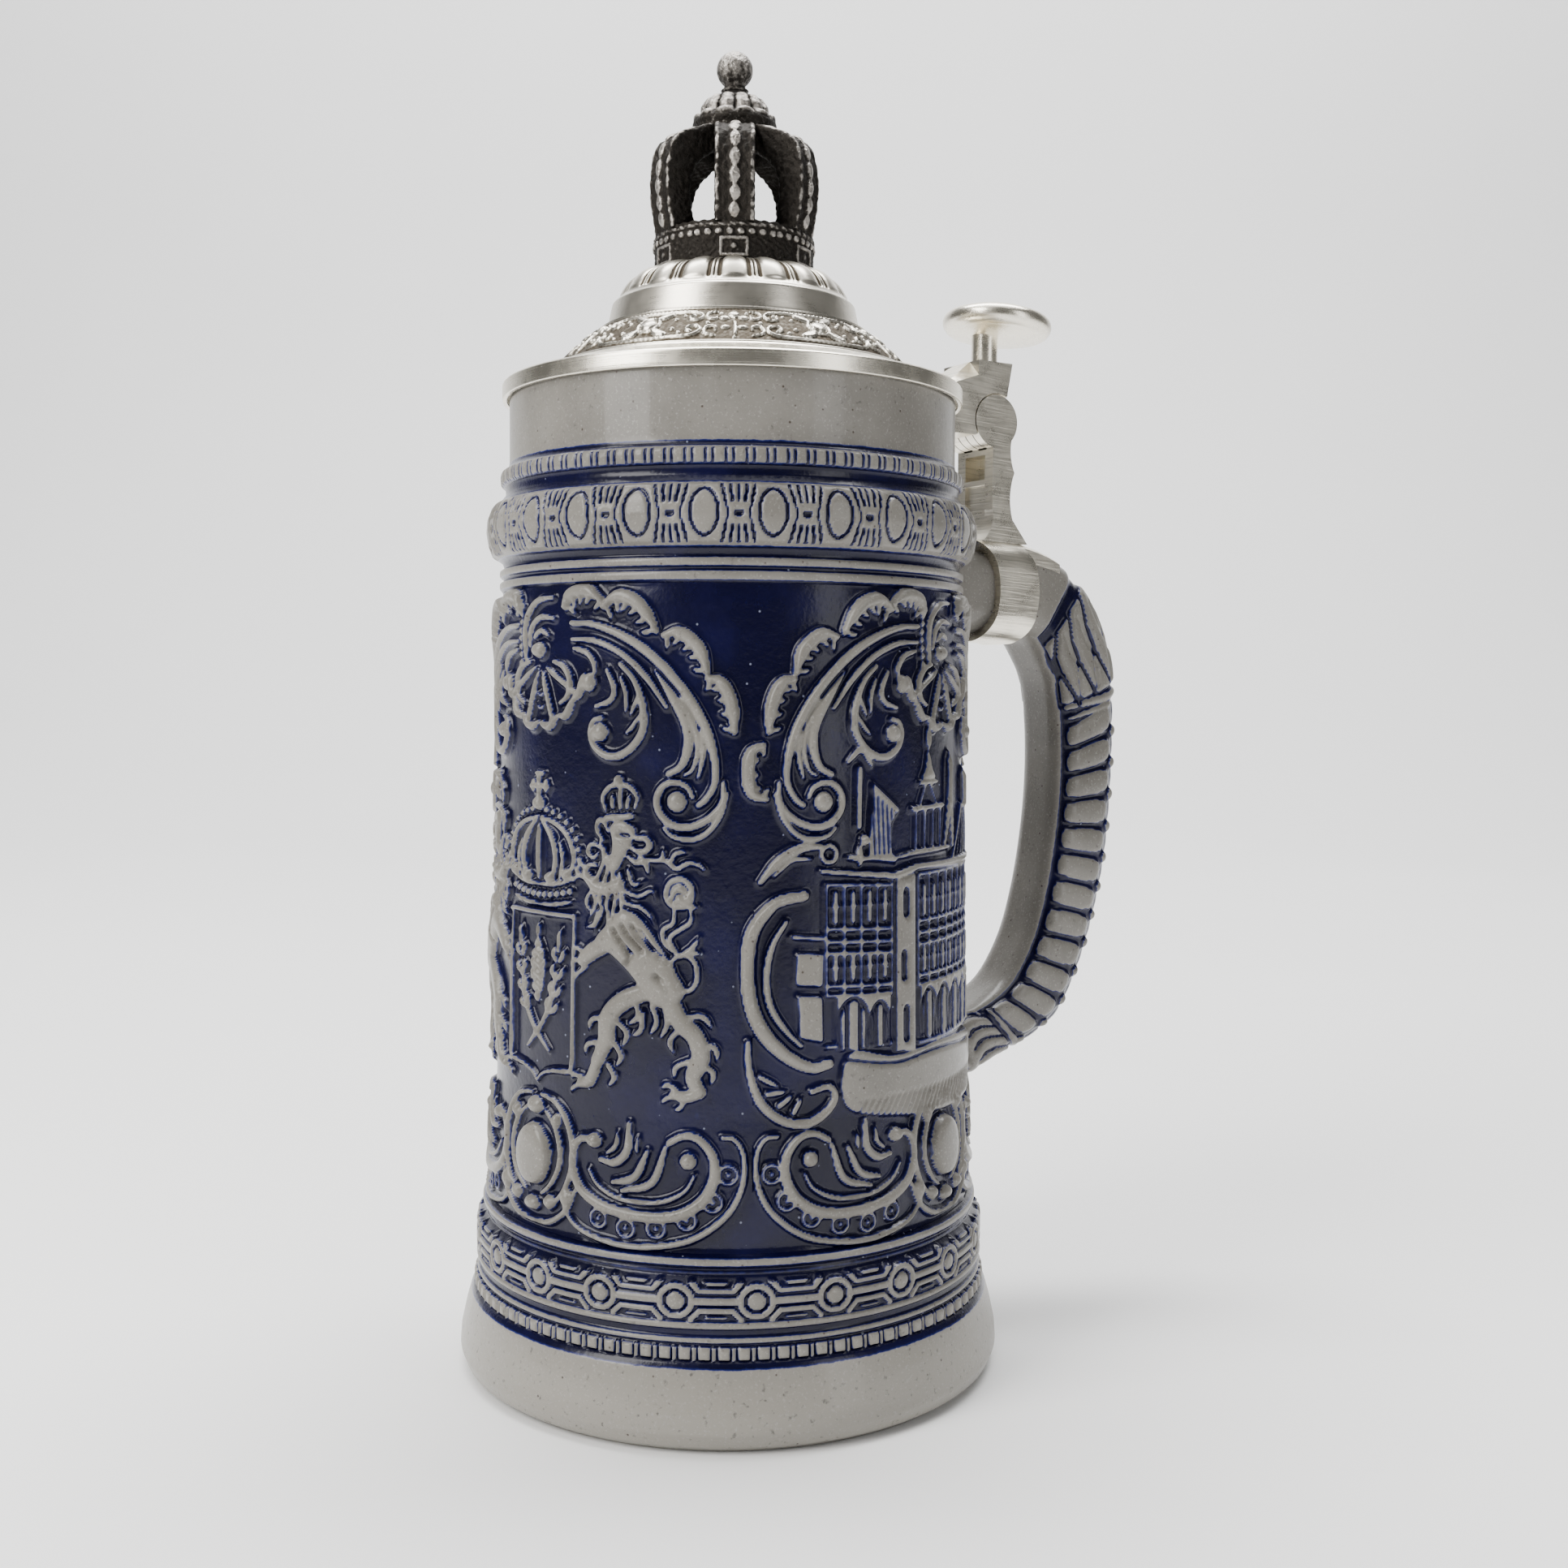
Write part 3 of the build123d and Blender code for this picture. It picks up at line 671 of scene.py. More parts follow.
def draw_footing(motif):
    """Lower part of a panel: an oval medallion with a scroll round it, and a broad shell
    scroll with five feathers and a lobed rim at either side."""
    motif.sides = (1,)
    oval = [(5.0 * np.cos(a), 51 + 6.0 * np.sin(a)) for a in np.linspace(0, 6.1, 18)]
    motif.plate(oval, 1.6, 0.7)
    motif.sides = (1, -1)
    motif.ridge([(1.5, 62.8), (6.5, 61.5), (10, 57), (10.8, 51), (9, 45.5), (5, 41)], 1.3)
    motif.ridge([(3, 59.8), (6, 57.2), (7.6, 53), (7.2, 49), (5, 45.5), (2.5, 43.5)], 1.2)
    motif.boss(0, 60.5, 2.6, 1.8)
    motif.boss(0, 41.3, 2.4, 1.5)
    motif.boss(5.3, 42.5, 1.7, 1.4)
    motif.boss(6.5, 58.5, 1.2, 1.5)
    motif.ridge([(0, 37.8), (5, 38.4), (9.5, 41.5), (11.8, 46)], 1.2)
    motif.ridge([(16.5, 56), (12.5, 55.8), (10.8, 52), (12.5, 47), (17.5, 44), (25, 42.8),
                 (32, 43.2), (37, 45.8), (39.5, 50), (39.4, 54.5), (36.8, 57.8), (33.8, 58.3),
                 (31.2, 57)], 2.2)
    motif.ridge([(14.5, 50.5), (17, 47.5), (22, 45.6), (29, 45.6), (34, 47.8), (36, 51)], 0.9)
    motif.boss(34.8, 53.6, 1.6, 1.6)
    motif.boss(15.8, 56, 1.8, 1.4)
    motif.ridge([(17.2, 52.6), (20.5, 52.4), (23, 55), (23.2, 60)], 1.7)
    motif.ridge([(18.5, 53.8), (20.5, 55.5), (20.8, 58)], 0.9)
    motif.ridge([(20, 48.6), (24.5, 50), (27, 55)], 1.5)
    motif.ridge([(22, 47.2), (28, 49.3), (30.5, 56)], 1.5)
    motif.ridge([(25, 57.5), (24.8, 54.5)], 0.7)
    motif.ridge([(9, 44.5), (9.4, 41.5), (13, 38.5), (20, 37.1), (27, 37.1), (34, 38.4), (39, 41),
                 (43, 45), (45.0, 50), (45.0, 55), (43.4, 57.8), (41, 58.2)], 1.2)
    motif.boss(9.8, 44, 1.6, 1.9)
    for x, z in ((17, 41.3), (22.8, 40.1), (28.8, 40.6), (34.6, 42.5), (39.4, 46.0), (42.2, 51.2)):
        lobe = [(x + 1.7 * np.cos(a), z + 1.7 * np.sin(a)) for a in np.linspace(0, 2 * np.pi, 9)]
        motif.ridge(lobe, 0.65, 1.1, (1, 1))
        motif.boss(x, z, 0.8, 0.8, 0.8)


def draw_arms(motif):
    """A royal crown over a plain shield that bears a hop cone between two ears of barley."""
    motif.sides = (1,)
    motif.boss(0, 119.6, 1.7, 1.5)
    motif.ridge([(-2.6, 122.9), (2.6, 122.9)], 1.1, ends=(1, 1))
    motif.ridge([(0, 120.8), (0, 125.2)], 1.1, ends=(1, 1))
    motif.ridge([(-1.1, 125.4), (1.1, 125.4)], 0.9, ends=(1, 1))
    motif.sides = (1, -1)
    motif.ridge([(2.1, 121.8), (2.1, 124.0)], 0.9, ends=(0.8, 1))
    motif.ridge([(0, 103.8), (4.6, 104.1), (9.1, 105.0)], 0.9)
    motif.ridge([(0, 99.9), (4.8, 100.2), (9.5, 101.0)], 0.9)
    motif.beads([(0, 101.8), (4.6, 102.1), (9.1, 103.0)], 6, 0.85)
    motif.ridge([(8.4, 105.5), (10.2, 109), (9, 113), (5.7, 115.6), (0.5, 117.0)], 1.1)
    motif.beads([(9.9, 105.5), (11.6, 109), (10.3, 113.9), (6.3, 117.3), (2.3, 118.4)], 10, 0.75)
    motif.ridge([(4.2, 104.5), (5.3, 109), (4.2, 113), (1.1, 116.3)], 1.3)
    motif.ridge([(6.2, 105), (7.3, 109), (6.2, 112.5)], 0.9)
    motif.ridge([(0, 105), (0, 115.5)], 1.2)
    motif.boss(3.8, 105.4, 1.5, 1.2)
    motif.boss(8.4, 106.2, 1.2, 1.2)
    motif.ridge([(0, 65.3), (1.9, 67), (5.3, 67.9), (9.3, 68.3), (10.1, 70), (10.3, 80),
                 (10.3, 98.3)], 0.95)
    motif.ridge([(0, 98.3), (10.3, 98.3)], 0.95, ends=(0.8, 1), straight=True)
    motif.ridge([(-3.6, 71.5), (1.0, 76), (4.2, 81), (5.8, 87)], 1.0)
    for x, z, lean in ((3.6, 79.2, 0.45), (4.7, 82.4, 0.36), (5.5, 85.8, 0.26), (6.0, 89.2, 0.16)):
        ahead, beside = np.array((np.sin(lean), np.cos(lean))), np.array((np.cos(lean), -np.sin(lean)))
        for way in (-1, 1):
            grain = np.array((x, z)) + 0.4 * way * beside
            motif.ridge([grain, grain + 1.4 * ahead + way * 0.9 * beside,
                         grain + 3.0 * ahead + way * 0.7 * beside], 1.1, 1.3, (0.6, 0.2))
    motif.ridge([(6.2, 91.2), (6.6, 95.8)], 0.9, ends=(0.8, 0.3))
    motif.sides = (1,)
    motif.plate([(0, 93.5), (1.9, 91), (2.6, 87.5), (1.8, 83.5), (0, 80.5), (-1.8, 83.5),
                 (-2.6, 87.5), (-1.9, 91)], 0.9, 0.5)
    for z in (91.6, 89.4, 87.2, 85.0, 82.8):
        motif.groove([(-2.4, z + 0.7), (-1.2, z - 0.5), (0, z + 0.7), (1.2, z - 0.5), (2.4, z + 0.7)],
                     0.4, 0.7)
    motif.ridge([(0, 93.4), (0, 96.2)], 0.9)


def draw_lions(motif):
    """A lion at either side of the shield, reared up against it with its head turned outward.
    Its mane, fur and tail are in locks, and it wears a small crown."""
    motif.sides = (1, -1)
    motif.ridge([(17.8, 117.5), (23.2, 118)], 1.2, ends=(1, 1))
    motif.ridge([(17.6, 118.8), (17.0, 121.4), (18.4, 123.3), (20.6, 123.9), (22.8, 123.4),
                 (24.3, 121.6), (23.8, 119.4)], 1.0)
    motif.ridge([(19.2, 119.2), (18.9, 121.8)], 0.85)
    motif.ridge([(20.8, 119.2), (20.8, 123.4)], 1.0)
    motif.ridge([(22.2, 119.2), (22.6, 121.8)], 0.85)
    motif.boss(20.3, 124.8, 0.9, 0.9)
    motif.ridge([(17.2, 113.2), (15.8, 115.0), (16.0, 117.0), (17.4, 116.6), (18.2, 114.8)], 0.9)
    motif.plate([(18.8, 116.3), (22.8, 116.0), (23.6, 114.0), (22.8, 112.2), (21.6, 109.8),
                 (20.2, 107.6), (18.9, 109.4), (19.1, 112.8)], 1.0, 0.5)
    motif.ridge([(19.6, 116.5), (21.8, 116.4), (23.8, 115.6)], 1.0)
    motif.groove([(20.9, 114.6), (22.8, 114.3)], 0.7)
    motif.ridge([(23.4, 115.2), (24.3, 113.9), (25.9, 114.0), (27.0, 112.8), (26.2, 111.6),
                 (24.4, 111.5), (22.9, 112.3)], 1.25)
    motif.ridge([(22.4, 110.4), (24.3, 109.3), (25.9, 109.5), (26.7, 107.5)], 1.1)
    motif.ridge([(24.6, 110.4), (27.4, 109.8), (30.0, 109.9), (32.2, 108.4), (34.2, 109.4),
                 (36.4, 109.2), (37.6, 108.2)], 0.9)
    motif.ridge([(29.4, 109.8), (29.6, 111.8)], 0.7)
    motif.ridge([(31.0, 109.3), (32.0, 111.2), (34.4, 111.6)], 0.8, ends=(1, 0.4))
    motif.ridge([(16.6, 111.8), (14.4, 112.4), (13.6, 110.8), (15.0, 109.8), (15.9, 110.8)], 0.85)
    motif.ridge([(15.8, 108.4), (13.6, 108.2), (12.8, 106.2), (14.4, 105.6)], 0.9)
    for number, (x, z) in enumerate(((16.4, 113.2), (17.4, 112.0), (18.5, 110.4), (19.4, 108.2))):
        drop = z - 97.0 + 1.4 * number
        motif.ridge([(x, z), (x + 0.8, z - 0.25 * drop), (x - 1.4 + 0.5 * number, z - 0.55 * drop),
                     (x - 0.9 + 0.4 * number, z - 0.75 * drop), (x - 3.2 + 0.9 * number, z - drop)],
                    0.78, 1.4, (0.6, 0.3))
    for lock in (
        [(20.8, 107.2), (21.4, 104.4), (24.6, 103.0), (27.4, 104.2), (28.2, 102.4)],
        [(20.9, 105.2), (22.0, 101.8), (25.2, 100.9), (27.2, 99.2), (28.0, 97.4)],
        [(22.4, 108.0), (23.6, 105.2), (25.6, 105.8)], [(21.0, 103.0), (21.6, 99.8), (23.8, 98.0)],
        [(14.8, 104.0), (13.4, 101.6), (14.6, 99.0)], [(16.0, 99.8), (15.2, 97.2), (13.0, 96.4)],
    ):
        motif.ridge(lock, 0.8, ends=(0.7, 0.3))
    motif.plate([(18.4, 97.6), (21.4, 100.2), (24.6, 99.4), (28, 95.6), (31.5, 90), (34, 85.5),
                 (31.5, 82.5), (27.5, 83), (23.5, 88), (19.5, 91.5), (15.5, 94)], 1.2, 0.8)
    for x, z in ((20.0, 96.8), (21.8, 97.6), (23.7, 97.6), (25.5, 96.6)):
        motif.groove([(x, z), (x + 1.9, z - 2.6), (x + 4.2, z - 4.8)], 0.45, 1.1)
    motif.groove([(22.6, 93.6), (23.4, 91.4), (22.4, 90.0)], 0.4, 1.0)
    motif.groove([(28.5, 88.5), (30.8, 86.2), (31.2, 84)], 0.5)
    limbs = (
        ([(19, 94), (15.2, 92.2), (12.8, 90.2)], 3.3),
        ([(21, 105), (16.8, 104), (13.4, 106.3)], 2.3),
        ([(30.5, 86), (33, 80), (36.0, 77), (37.0, 73), (35.6, 69.5), (36.8, 66.7)], 3.4),
        ([(36.8, 66.5), (34.5, 65.8), (32, 66)], 2.2),
        ([(27.5, 85.5), (22.4, 83.5), (18.7, 80), (18.2, 75.5), (16.4, 71.5)], 3.6),
        ([(16.5, 71.5), (14.8, 67.6), (12.5, 66.6)], 2.4),
    )
    for limb, width in limbs:
        motif.ridge(limb, width, 1.7, (0.9, 0.75))
    for claw in (
        [(13.2, 91.4), (11.0, 92.4), (9.9, 91.7)], [(12.6, 90.0), (10.6, 90.0), (9.6, 89.0)],
        [(13.4, 88.9), (11.8, 87.8), (10.8, 86.6)], [(13.7, 107.0), (12.2, 108.4), (11.0, 108.0)],
        [(13.0, 105.9), (11.3, 106.3), (10.4, 105.4)], [(12.6, 67.7), (10.8, 68.0), (9.9, 67.2)],
        [(12.4, 66.3), (10.7, 65.6), (9.8, 64.6)], [(32.3, 67.2), (30.6, 67.8), (29.6, 67.0)],
        [(32.2, 65.8), (30.4, 65.2), (29.6, 64.2)], [(34.0, 65.0), (33.2, 63.6), (32.0, 63.2)],
    ):
        motif.ridge(claw, 0.95, 1.2, (1, 0.4))
    for curl in (
        [(33.6, 80.5), (37.3, 80.8), (39.2, 78.6)], [(36.5, 76.0), (39.6, 75.0), (40.2, 72.4)],
        [(36.7, 72.0), (39.3, 70.4), (39.0, 68.0)], [(24.5, 83.0), (24.8, 80.3), (22.8, 78.8)],
        [(20.4, 79.2), (22.6, 77.0), (21.6, 74.4)], [(19.6, 75.5), (21.4, 72.6), (20.2, 70.4)],
        [(17.5, 79.6), (14.9, 79.0), (14.2, 76.8)], [(16.6, 74.8), (14.0, 74.2), (13.4, 72.2)],
        [(33.4, 78.6), (31.2, 76.2), (32.0, 73.6)], [(34.8, 72.4), (32.4, 71.2), (32.0, 69.2)],
        [(27.6, 82.6), (28.6, 79.6), (27.2, 77.0)], [(18.6, 70.8), (20.0, 68.4), (18.6, 66.6)],
        [(30.2, 82.0), (30.6, 79.0), (29.2, 76.4)], [(25.8, 80.8), (25.4, 77.8), (23.6, 76.6)],
    ):
        motif.ridge(curl, 1.05, 1.3, (1, 0.35))
    motif.ridge([(32.0, 86.6), (34.6, 85.6), (36.2, 87.6), (35.8, 91.0), (33.6, 92.4),
                 (31.4, 91.0), (32.0, 89.2)], 1.0, ends=(0.9, 0.5))
    motif.ridge([(33.0, 92.2), (30.2, 94.2), (29.6, 96.8), (31.6, 98.2), (31.8, 101.0)], 0.9)
    motif.ridge([(32.4, 92.6), (31.0, 95.4), (33.2, 97.2), (35.0, 98.6), (34.9, 101.4)], 0.9)
    motif.ridge([(33.0, 92.0), (35.2, 93.6), (36.6, 95.6)], 1.0, ends=(1, 0.3))
    motif.ridge([(34.4, 93.2), (37.0, 92.4)], 0.8, ends=(1, 0.3))
    motif.plate([(29.8, 102.6), (29.9, 105.0), (31.4, 106.8), (33.8, 106.9), (35.6, 105.2),
                 (35.7, 102.6), (34.0, 100.8), (31.4, 100.9)], 1.0, 0.5)
    motif.groove([(30.8, 103.0), (31.4, 105.2), (33.4, 105.7), (34.6, 104.2)], 0.45, 1.0)
    motif.groove([(31.6, 102.2), (32.4, 103.8), (33.9, 103.4)], 0.45, 1.0)
    motif.ridge([(33.6, 101.6), (36.4, 101.2)], 0.9, ends=(1, 0.3))


def draw_cartouche(motif):
    """Scrolls that hold a town view: a tall double C at either side, a curl with short fingers
    below it, and a curled bar and a small leaf above it, placed from the panel's left edge."""
    motif.sides = (1, -1)
    motif.place = np.array((-51.5, 0.0))
    motif.ridge([(15.5, 103.3), (10, 102), (5.8, 97), (4.8, 90), (5.5, 83), (8, 77.5), (12.5, 73),
                 (17, 70.8), (20.5, 71.3)], 2.9, 1.8)
    motif.groove([(10.5, 101.2), (7.0, 96.5), (6.0, 90), (6.7, 83.5), (9.2, 78.3), (13, 74.2)], 0.5)
    motif.ridge([(12, 98.5), (9.3, 94), (8.2, 88), (9.1, 82.5), (12, 78), (15, 75)], 1.3)
    motif.ridge([(7, 106), (10.5, 110), (15, 112.3), (19.0, 112.4)], 1.8)
    motif.ridge([(20.5 + 1.6 * np.cos(a), 111 + 1.6 * np.sin(a))
                 for a in np.linspace(0, 2 * np.pi, 9)], 0.8, ends=(1, 1))
    motif.ridge([(9.5, 107), (13, 110), (17, 110.2)], 0.8)
    motif.ridge([(4.8, 76), (5, 71), (7, 65), (11, 61.3), (16, 60.3), (20, 62.3), (21.8, 65),
                 (20.5, 67), (17, 66.3)], 1.8)
    for foot, tip in (((7.0, 69.5), (10.5, 67.6)), ((8.4, 66.2), (12.0, 66.6)),
                      ((10.6, 63.8), (13.2, 65.8)), ((13.4, 62.4), (15.0, 65.2))):
        motif.ridge([foot, tip], 1.0, 1.2, (1, 0.4))
    leaf_crest(motif, [(7.5, 131.5), (5.2, 130.2), (4.6, 126), (5.5, 122.5), (8.0, 121.5)][::-1], 5, 2.2)
    motif.place = np.zeros(2)


def draw_town_hall(motif, flip):
    """A town hall over a patch of ground: an annex, a wing of four bays, a corner tower and a
    long wing of nine bays, with round doors below; above them a dormer, a steep roof with a
    turret, a belfry, a small gable and a hipped roof, the last three with a mast each."""
    motif.sides = (flip,)
    motif.place = np.array((-51.5, 0.0))
    low = dict(rise=0.9, ends=(1, 1), straight=True)
    motif.plate([(24, 63), (36, 59.5), (60, 57.8), (76, 60), (82, 68), (66, 71.5), (50, 72.3),
                 (36, 71.4), (25, 73)], 0.9, 0.3)
    motif.groove([(24, 71.8), (36, 70.0), (50, 70.8), (70, 69.2)], 0.5)
    for start in np.arange(26, 78, 1.6):
        motif.groove([(start, 59.5), (start + 2.5, 63.8)], 0.35, 0.75)
    motif.plate([(13.8, 86.5), (14.0, 92.6), (19.4, 92.2), (19.2, 86.0)], 0.9, 0.1, True)
    motif.plate([(14.6, 76.5), (14.2, 84.6), (19.2, 84.2), (19.4, 75.4)], 0.9, 0.1, True)
    motif.ridge([(13.2, 95.6), (20, 95.0)], 0.9, **low)
    wings = ((20.0, 35.2, 4, 105.2, 74.5, -0.7), (43.0, 76.0, 9, 106.0, 72.8, 0.4))
    for left, right, bays, eaves, base, slant in wings:
        width = (right - left) / bays
        for z in (eaves, 96.8, 94.4, 92.2, 86.0, 84.2, base):
            motif.ridge([(left, z), (right, z + slant)], 0.85, **low)
        for x in np.linspace(left, right, bays + 1):
            motif.ridge([(x, 84.2), (x, eaves)], 0.75, **low)
        for x in left + width * (np.arange(bays) + 0.5):
            for z, tall in ((100.8, 5.4), (89.2, 4.0)):
                motif.ridge([(x, z - tall / 2), (x, z + tall / 2)], 1.2, **low)
                motif.ridge([(x - 1.0, z + 0.2), (x + 1.0, z + 0.2)], 0.6, **low)
    for x, half, crown in ((25.8, 2.9, 83.3), (32.0, 2.1, 82.2), (46.6, 2.3, 83.2), (52.6, 2.3, 83.2),
                           (58.6, 2.3, 83.2), (64.6, 2.3, 83.2), (70.6, 2.3, 83.2)):
        motif.plate([(x - half - 0.7, 73.5), (x - half - 0.7, 84.0), (x + half + 0.7, 84.0),
                     (x + half + 0.7, 73.5)], 0.95, 0.0, True)
        motif.groove([(x - half, 74), (x - half, crown - 2.4), (x, crown), (x + half, crown - 2.4),
                      (x + half, 74)], 0.7)
        for bar in (-0.5, 0.5):
            motif.groove([(x + bar * half, 74), (x + bar * half, crown - 1.2)], 0.8)
    motif.plate([(36.2, 72), (36.2, 105.5), (41.8, 106.5), (41.8, 71.6)], 0.95, 0.2, True)
    for x, z, tall in ((39.0, 100.8, 4.2), (38.4, 88.6, 4.4), (39.0, 77.2, 5.6)):
        motif.groove([(x, z - tall / 2), (x, z + tall / 2)], 1.7, 1.0)
        motif.ridge([(x, z - tall / 2), (x, z + tall / 2)], 0.45, 0.8, (1, 1))
    motif.ridge([(19.0, 107.8), (35.8, 106.2), (42.5, 107.6), (77, 107.4)], 1.3, 1.3, straight=True)
    motif.ridge([(36.0, 109.6), (42.2, 110.4), (56, 110.6)], 1.0, 1.2, straight=True)
    motif.plate([(29.0, 109.5), (30.2, 124.5), (37.4, 119.0), (35.4, 116.6), (35.0, 112.4),
                 (36.6, 108.6)], 0.85, 0.1, True)
    for start in np.arange(30.2, 36.2, 1.15):
        motif.groove([(start, 122.6 - 0.7 * (start - 30)), (start + 0.5, 110.5)], 0.4, 0.75)
    motif.ridge([(27.0, 116.0), (27.2, 127.0)], 1.5, **low)
    motif.ridge([(24.4, 128.2), (27.4, 130.6), (30.0, 127.6)], 1.1)
    motif.ridge([(27.4, 130.6), (27.4, 132.6)], 0.9)
    motif.boss(28.2, 113.4, 1.1, 1.1)
    motif.ridge([(24.5, 110.2), (29.5, 109.8)], 1.0)
    motif.ridge([(27.2, 108.8), (27.2, 112.2)], 1.2)
    for x in (42.0, 45.0, 48.0, 51.0):
        motif.ridge([(x, 111.0), (x + 0.2, 118.4)], 0.8, **low)
    motif.ridge([(41.0, 118.8), (52.2, 119.2)], 1.0, 1.2, (1, 1))
    for x, top in ((43.4, 123.6), (49.6, 123.8)):
        motif.ridge([(x, 119.4), (46.2 + 0.25 * (x - 46.5), top)], 0.8, **low)
    motif.ridge([(43.6, 123.9), (49.4, 124.0)], 0.9, ends=(1, 1))
    motif.plate([(44.2, 124.6), (45.4, 127.0), (46.3, 130.5), (47.2, 127.0), (48.6, 124.6)], 1.0, 0.6)
    motif.ridge([(46.4, 130.5), (46.4, 134.6)], 1.0)
    motif.ridge([(53.0, 110.5), (55.4, 121), (57.6, 110.5)], 1.0, straight=True)
    motif.ridge([(55.4, 121), (55.6, 130)], 1.2, ends=(1, 0.3))
    left, middle, right, top = 57.5, 66.75, 76.0, 118.5
    motif.ridge([(left, 108), (middle - 2.2, top), (middle + 2.2, top), (right, 108)], 0.95, **low)
    for share in (0.2, 0.4, 0.6, 0.8):
        foot = left + share * (right - left)
        motif.ridge([(foot, 108.6), (middle + (share - 0.5) * 4, top - 1.0)], 0.6, **low)
    motif.ridge([(middle, top), (middle, top + 8)], 1.3, ends=(1, 0.2))
    motif.place = np.zeros(2)


def pooled(rise):
    """Corners softened as a glaze does: each height becomes the mean of itself, counted twice,
    and its two neighbours, first up and down and then across."""
    for axis in (0, 1):
        ahead, behind = np.roll(rise, 1, axis), np.roll(rise, -1, axis)
        rise = (ahead + 2 * rise + behind) / 4
    return rise


def wall_slab(name, across, rows, lift):
    """A closed slab of the picture wall: the outline's rows pushed out by the relief, backed by
    the bore, with flat sides on the two planes through the pot's axis."""
    wiped_here = np.interp(rows[:, 1], *wiped.T)[:, None]
    grey = np.maximum(smooth((lift - 0.50) / 0.60), wiped_here)
    angles = np.radians(front_degrees) + across / ruler_radius
    radii = np.concatenate([rows[:, :1] + lift, np.full((2, len(across)), bore_radius)])
    heights = np.concatenate([rows[:, 1], [wall_top, chain_top]])[:, None]
    points = pot_shape(angles, radii, heights)
    faces = quads(len(radii), len(across), over=True).reshape(len(radii), -1, 4)
    outside = faces[:len(rows) - 1].reshape(-1, 4)
    inside = faces[len(rows) - 1:].reshape(-1, 4)
    first = np.arange(len(radii))[None] * len(across)
    sides = np.concatenate([first, (first + len(across) - 1)[:, ::-1]])
    crests = np.concatenate([grey, np.ones((2, len(across)))])
    piece = put_mesh(name, points.reshape(-1, 3), [outside, inside, sides], flat=(1, 2),
                     material=stoneware, marks={"crest": crests})
    mug_part(piece, "mug_body")


front_degrees = -169.0
panel_degrees = 106.0
margin_degrees = 3
drawn_degrees = 3 * panel_degrees + margin_degrees
wall_spacing, plain_spacing, plain_columns = 0.35, 0.6, 32
relief_gain = 1.2
panel_step = np.radians(panel_degrees) * ruler_radius
drawn_half = np.radians(drawn_degrees / 2) * ruler_radius
third = int(2 * drawn_half / wall_spacing / 3)
wall_rows = pot_rows(chain_top, wall_top, wall_spacing)
picture = Relief(np.linspace(-drawn_half, drawn_half, 3 * third + 1), wall_rows[:, 1], 0.55)
for panel in (-1, 0, 1):
    picture.centre = np.array((panel * panel_step, 0.0))
    draw_frame(picture)
    draw_shell(picture)
    draw_footing(picture)
    if panel:
        draw_cartouche(picture)
        draw_town_hall(picture, panel)
    else:
        draw_arms(picture)
        draw_lions(picture)
picture_lift = relief_gain * pooled(picture.rise)
overlap = 0.03                     # each slab runs this far under its neighbour's edge
for number, side_name in enumerate(("left", "front", "right")):
    part = slice(number * third, (number + 1) * third + 1)
    part_across = picture.across[part].copy()
    part_across[-1] += overlap
    wall_slab(f"mug_{side_name}_panel", part_across, wall_rows, picture_lift[:, part])
plain_across = np.linspace(drawn_half, 2 * np.pi * ruler_radius - drawn_half + overlap,
                           plain_columns)
plain_rows = pot_rows(chain_top, wall_top, plain_spacing)
wall_slab("mug_plain_wall", plain_across, plain_rows, np.zeros((len(plain_rows), plain_columns)))


def foot_rows():
    """The foot's whole outline, from the middle of the underside out, up to the chain band,
    and down the bore to the middle of the floor, after the counts of its points on the
    underside and on the outer side."""
    outside = pot_rows(0.2, foot_top, band_spacing)
    corner = 8.0              # rounding between the bore and its floor
    bend = np.linspace(0, np.pi / 2, 9)
    bore = np.stack([bore_radius - corner * (1 - np.cos(bend)),
                     floor_thickness + corner * (1 - np.sin(bend))], 1)
    underside = np.array([(20.0, 0.0), (48.0, 0.0), (53.6, 0.0)])
    floor_ring = np.array([(bore_radius, foot_top)]), bore, np.array([(18.0, floor_thickness)])
    return len(underside), len(outside), np.concatenate([underside, outside, *floor_ring])


def with_poles(rows, columns):
    """Faces of a turned grid whose first and last rows close on a pole each: the quads of the
    grid, and the triangles round the poles, whose numbers follow the grid's."""
    ring = np.arange(columns)
    after = np.roll(ring, -1)
    start_pole, end_pole = rows * columns, rows * columns + 1
    last = (rows - 1) * columns
    caps = np.concatenate([
        np.stack([after, ring, np.full(columns, start_pole)], 1),
        np.stack([last + ring, last + after, np.full(columns, end_pole)], 1)])
    return quads(rows, columns, around=True), caps


foot_columns = 10 * bead_count
under_count, side_count, foot_line = foot_rows()
beads = repeated(bead_count, bead_row)(foot_line[:, 1], foot_columns)
foot_place = np.arange(len(foot_line)) - under_count
on_side = (foot_place >= 0) & (foot_place < side_count)
beads *= on_side[:, None]
foot_grey = np.where(on_side, np.interp(foot_line[:, 1], *wiped.T), 1.0)[:, None]
foot_grey = np.where(beads > 0.2, smooth((beads - 0.45) / 0.25), foot_grey)
foot_angles = np.linspace(0, 2 * np.pi, foot_columns, endpoint=False)
foot_points = pot_shape(foot_angles, foot_line[:, :1] + beads, foot_line[:, 1:])
foot_ends = np.array([(0, 0, 0), (0, 0, floor_thickness)]) * MM
foot = put_mesh("mug_foot", np.concatenate([foot_points.reshape(-1, 3), foot_ends]),
                list(with_poles(len(foot_line), foot_columns)), material=stoneware,
                marks={"crest": np.concatenate([foot_grey.ravel(), (1, 1)])})
mug_part(foot, "mug_body")

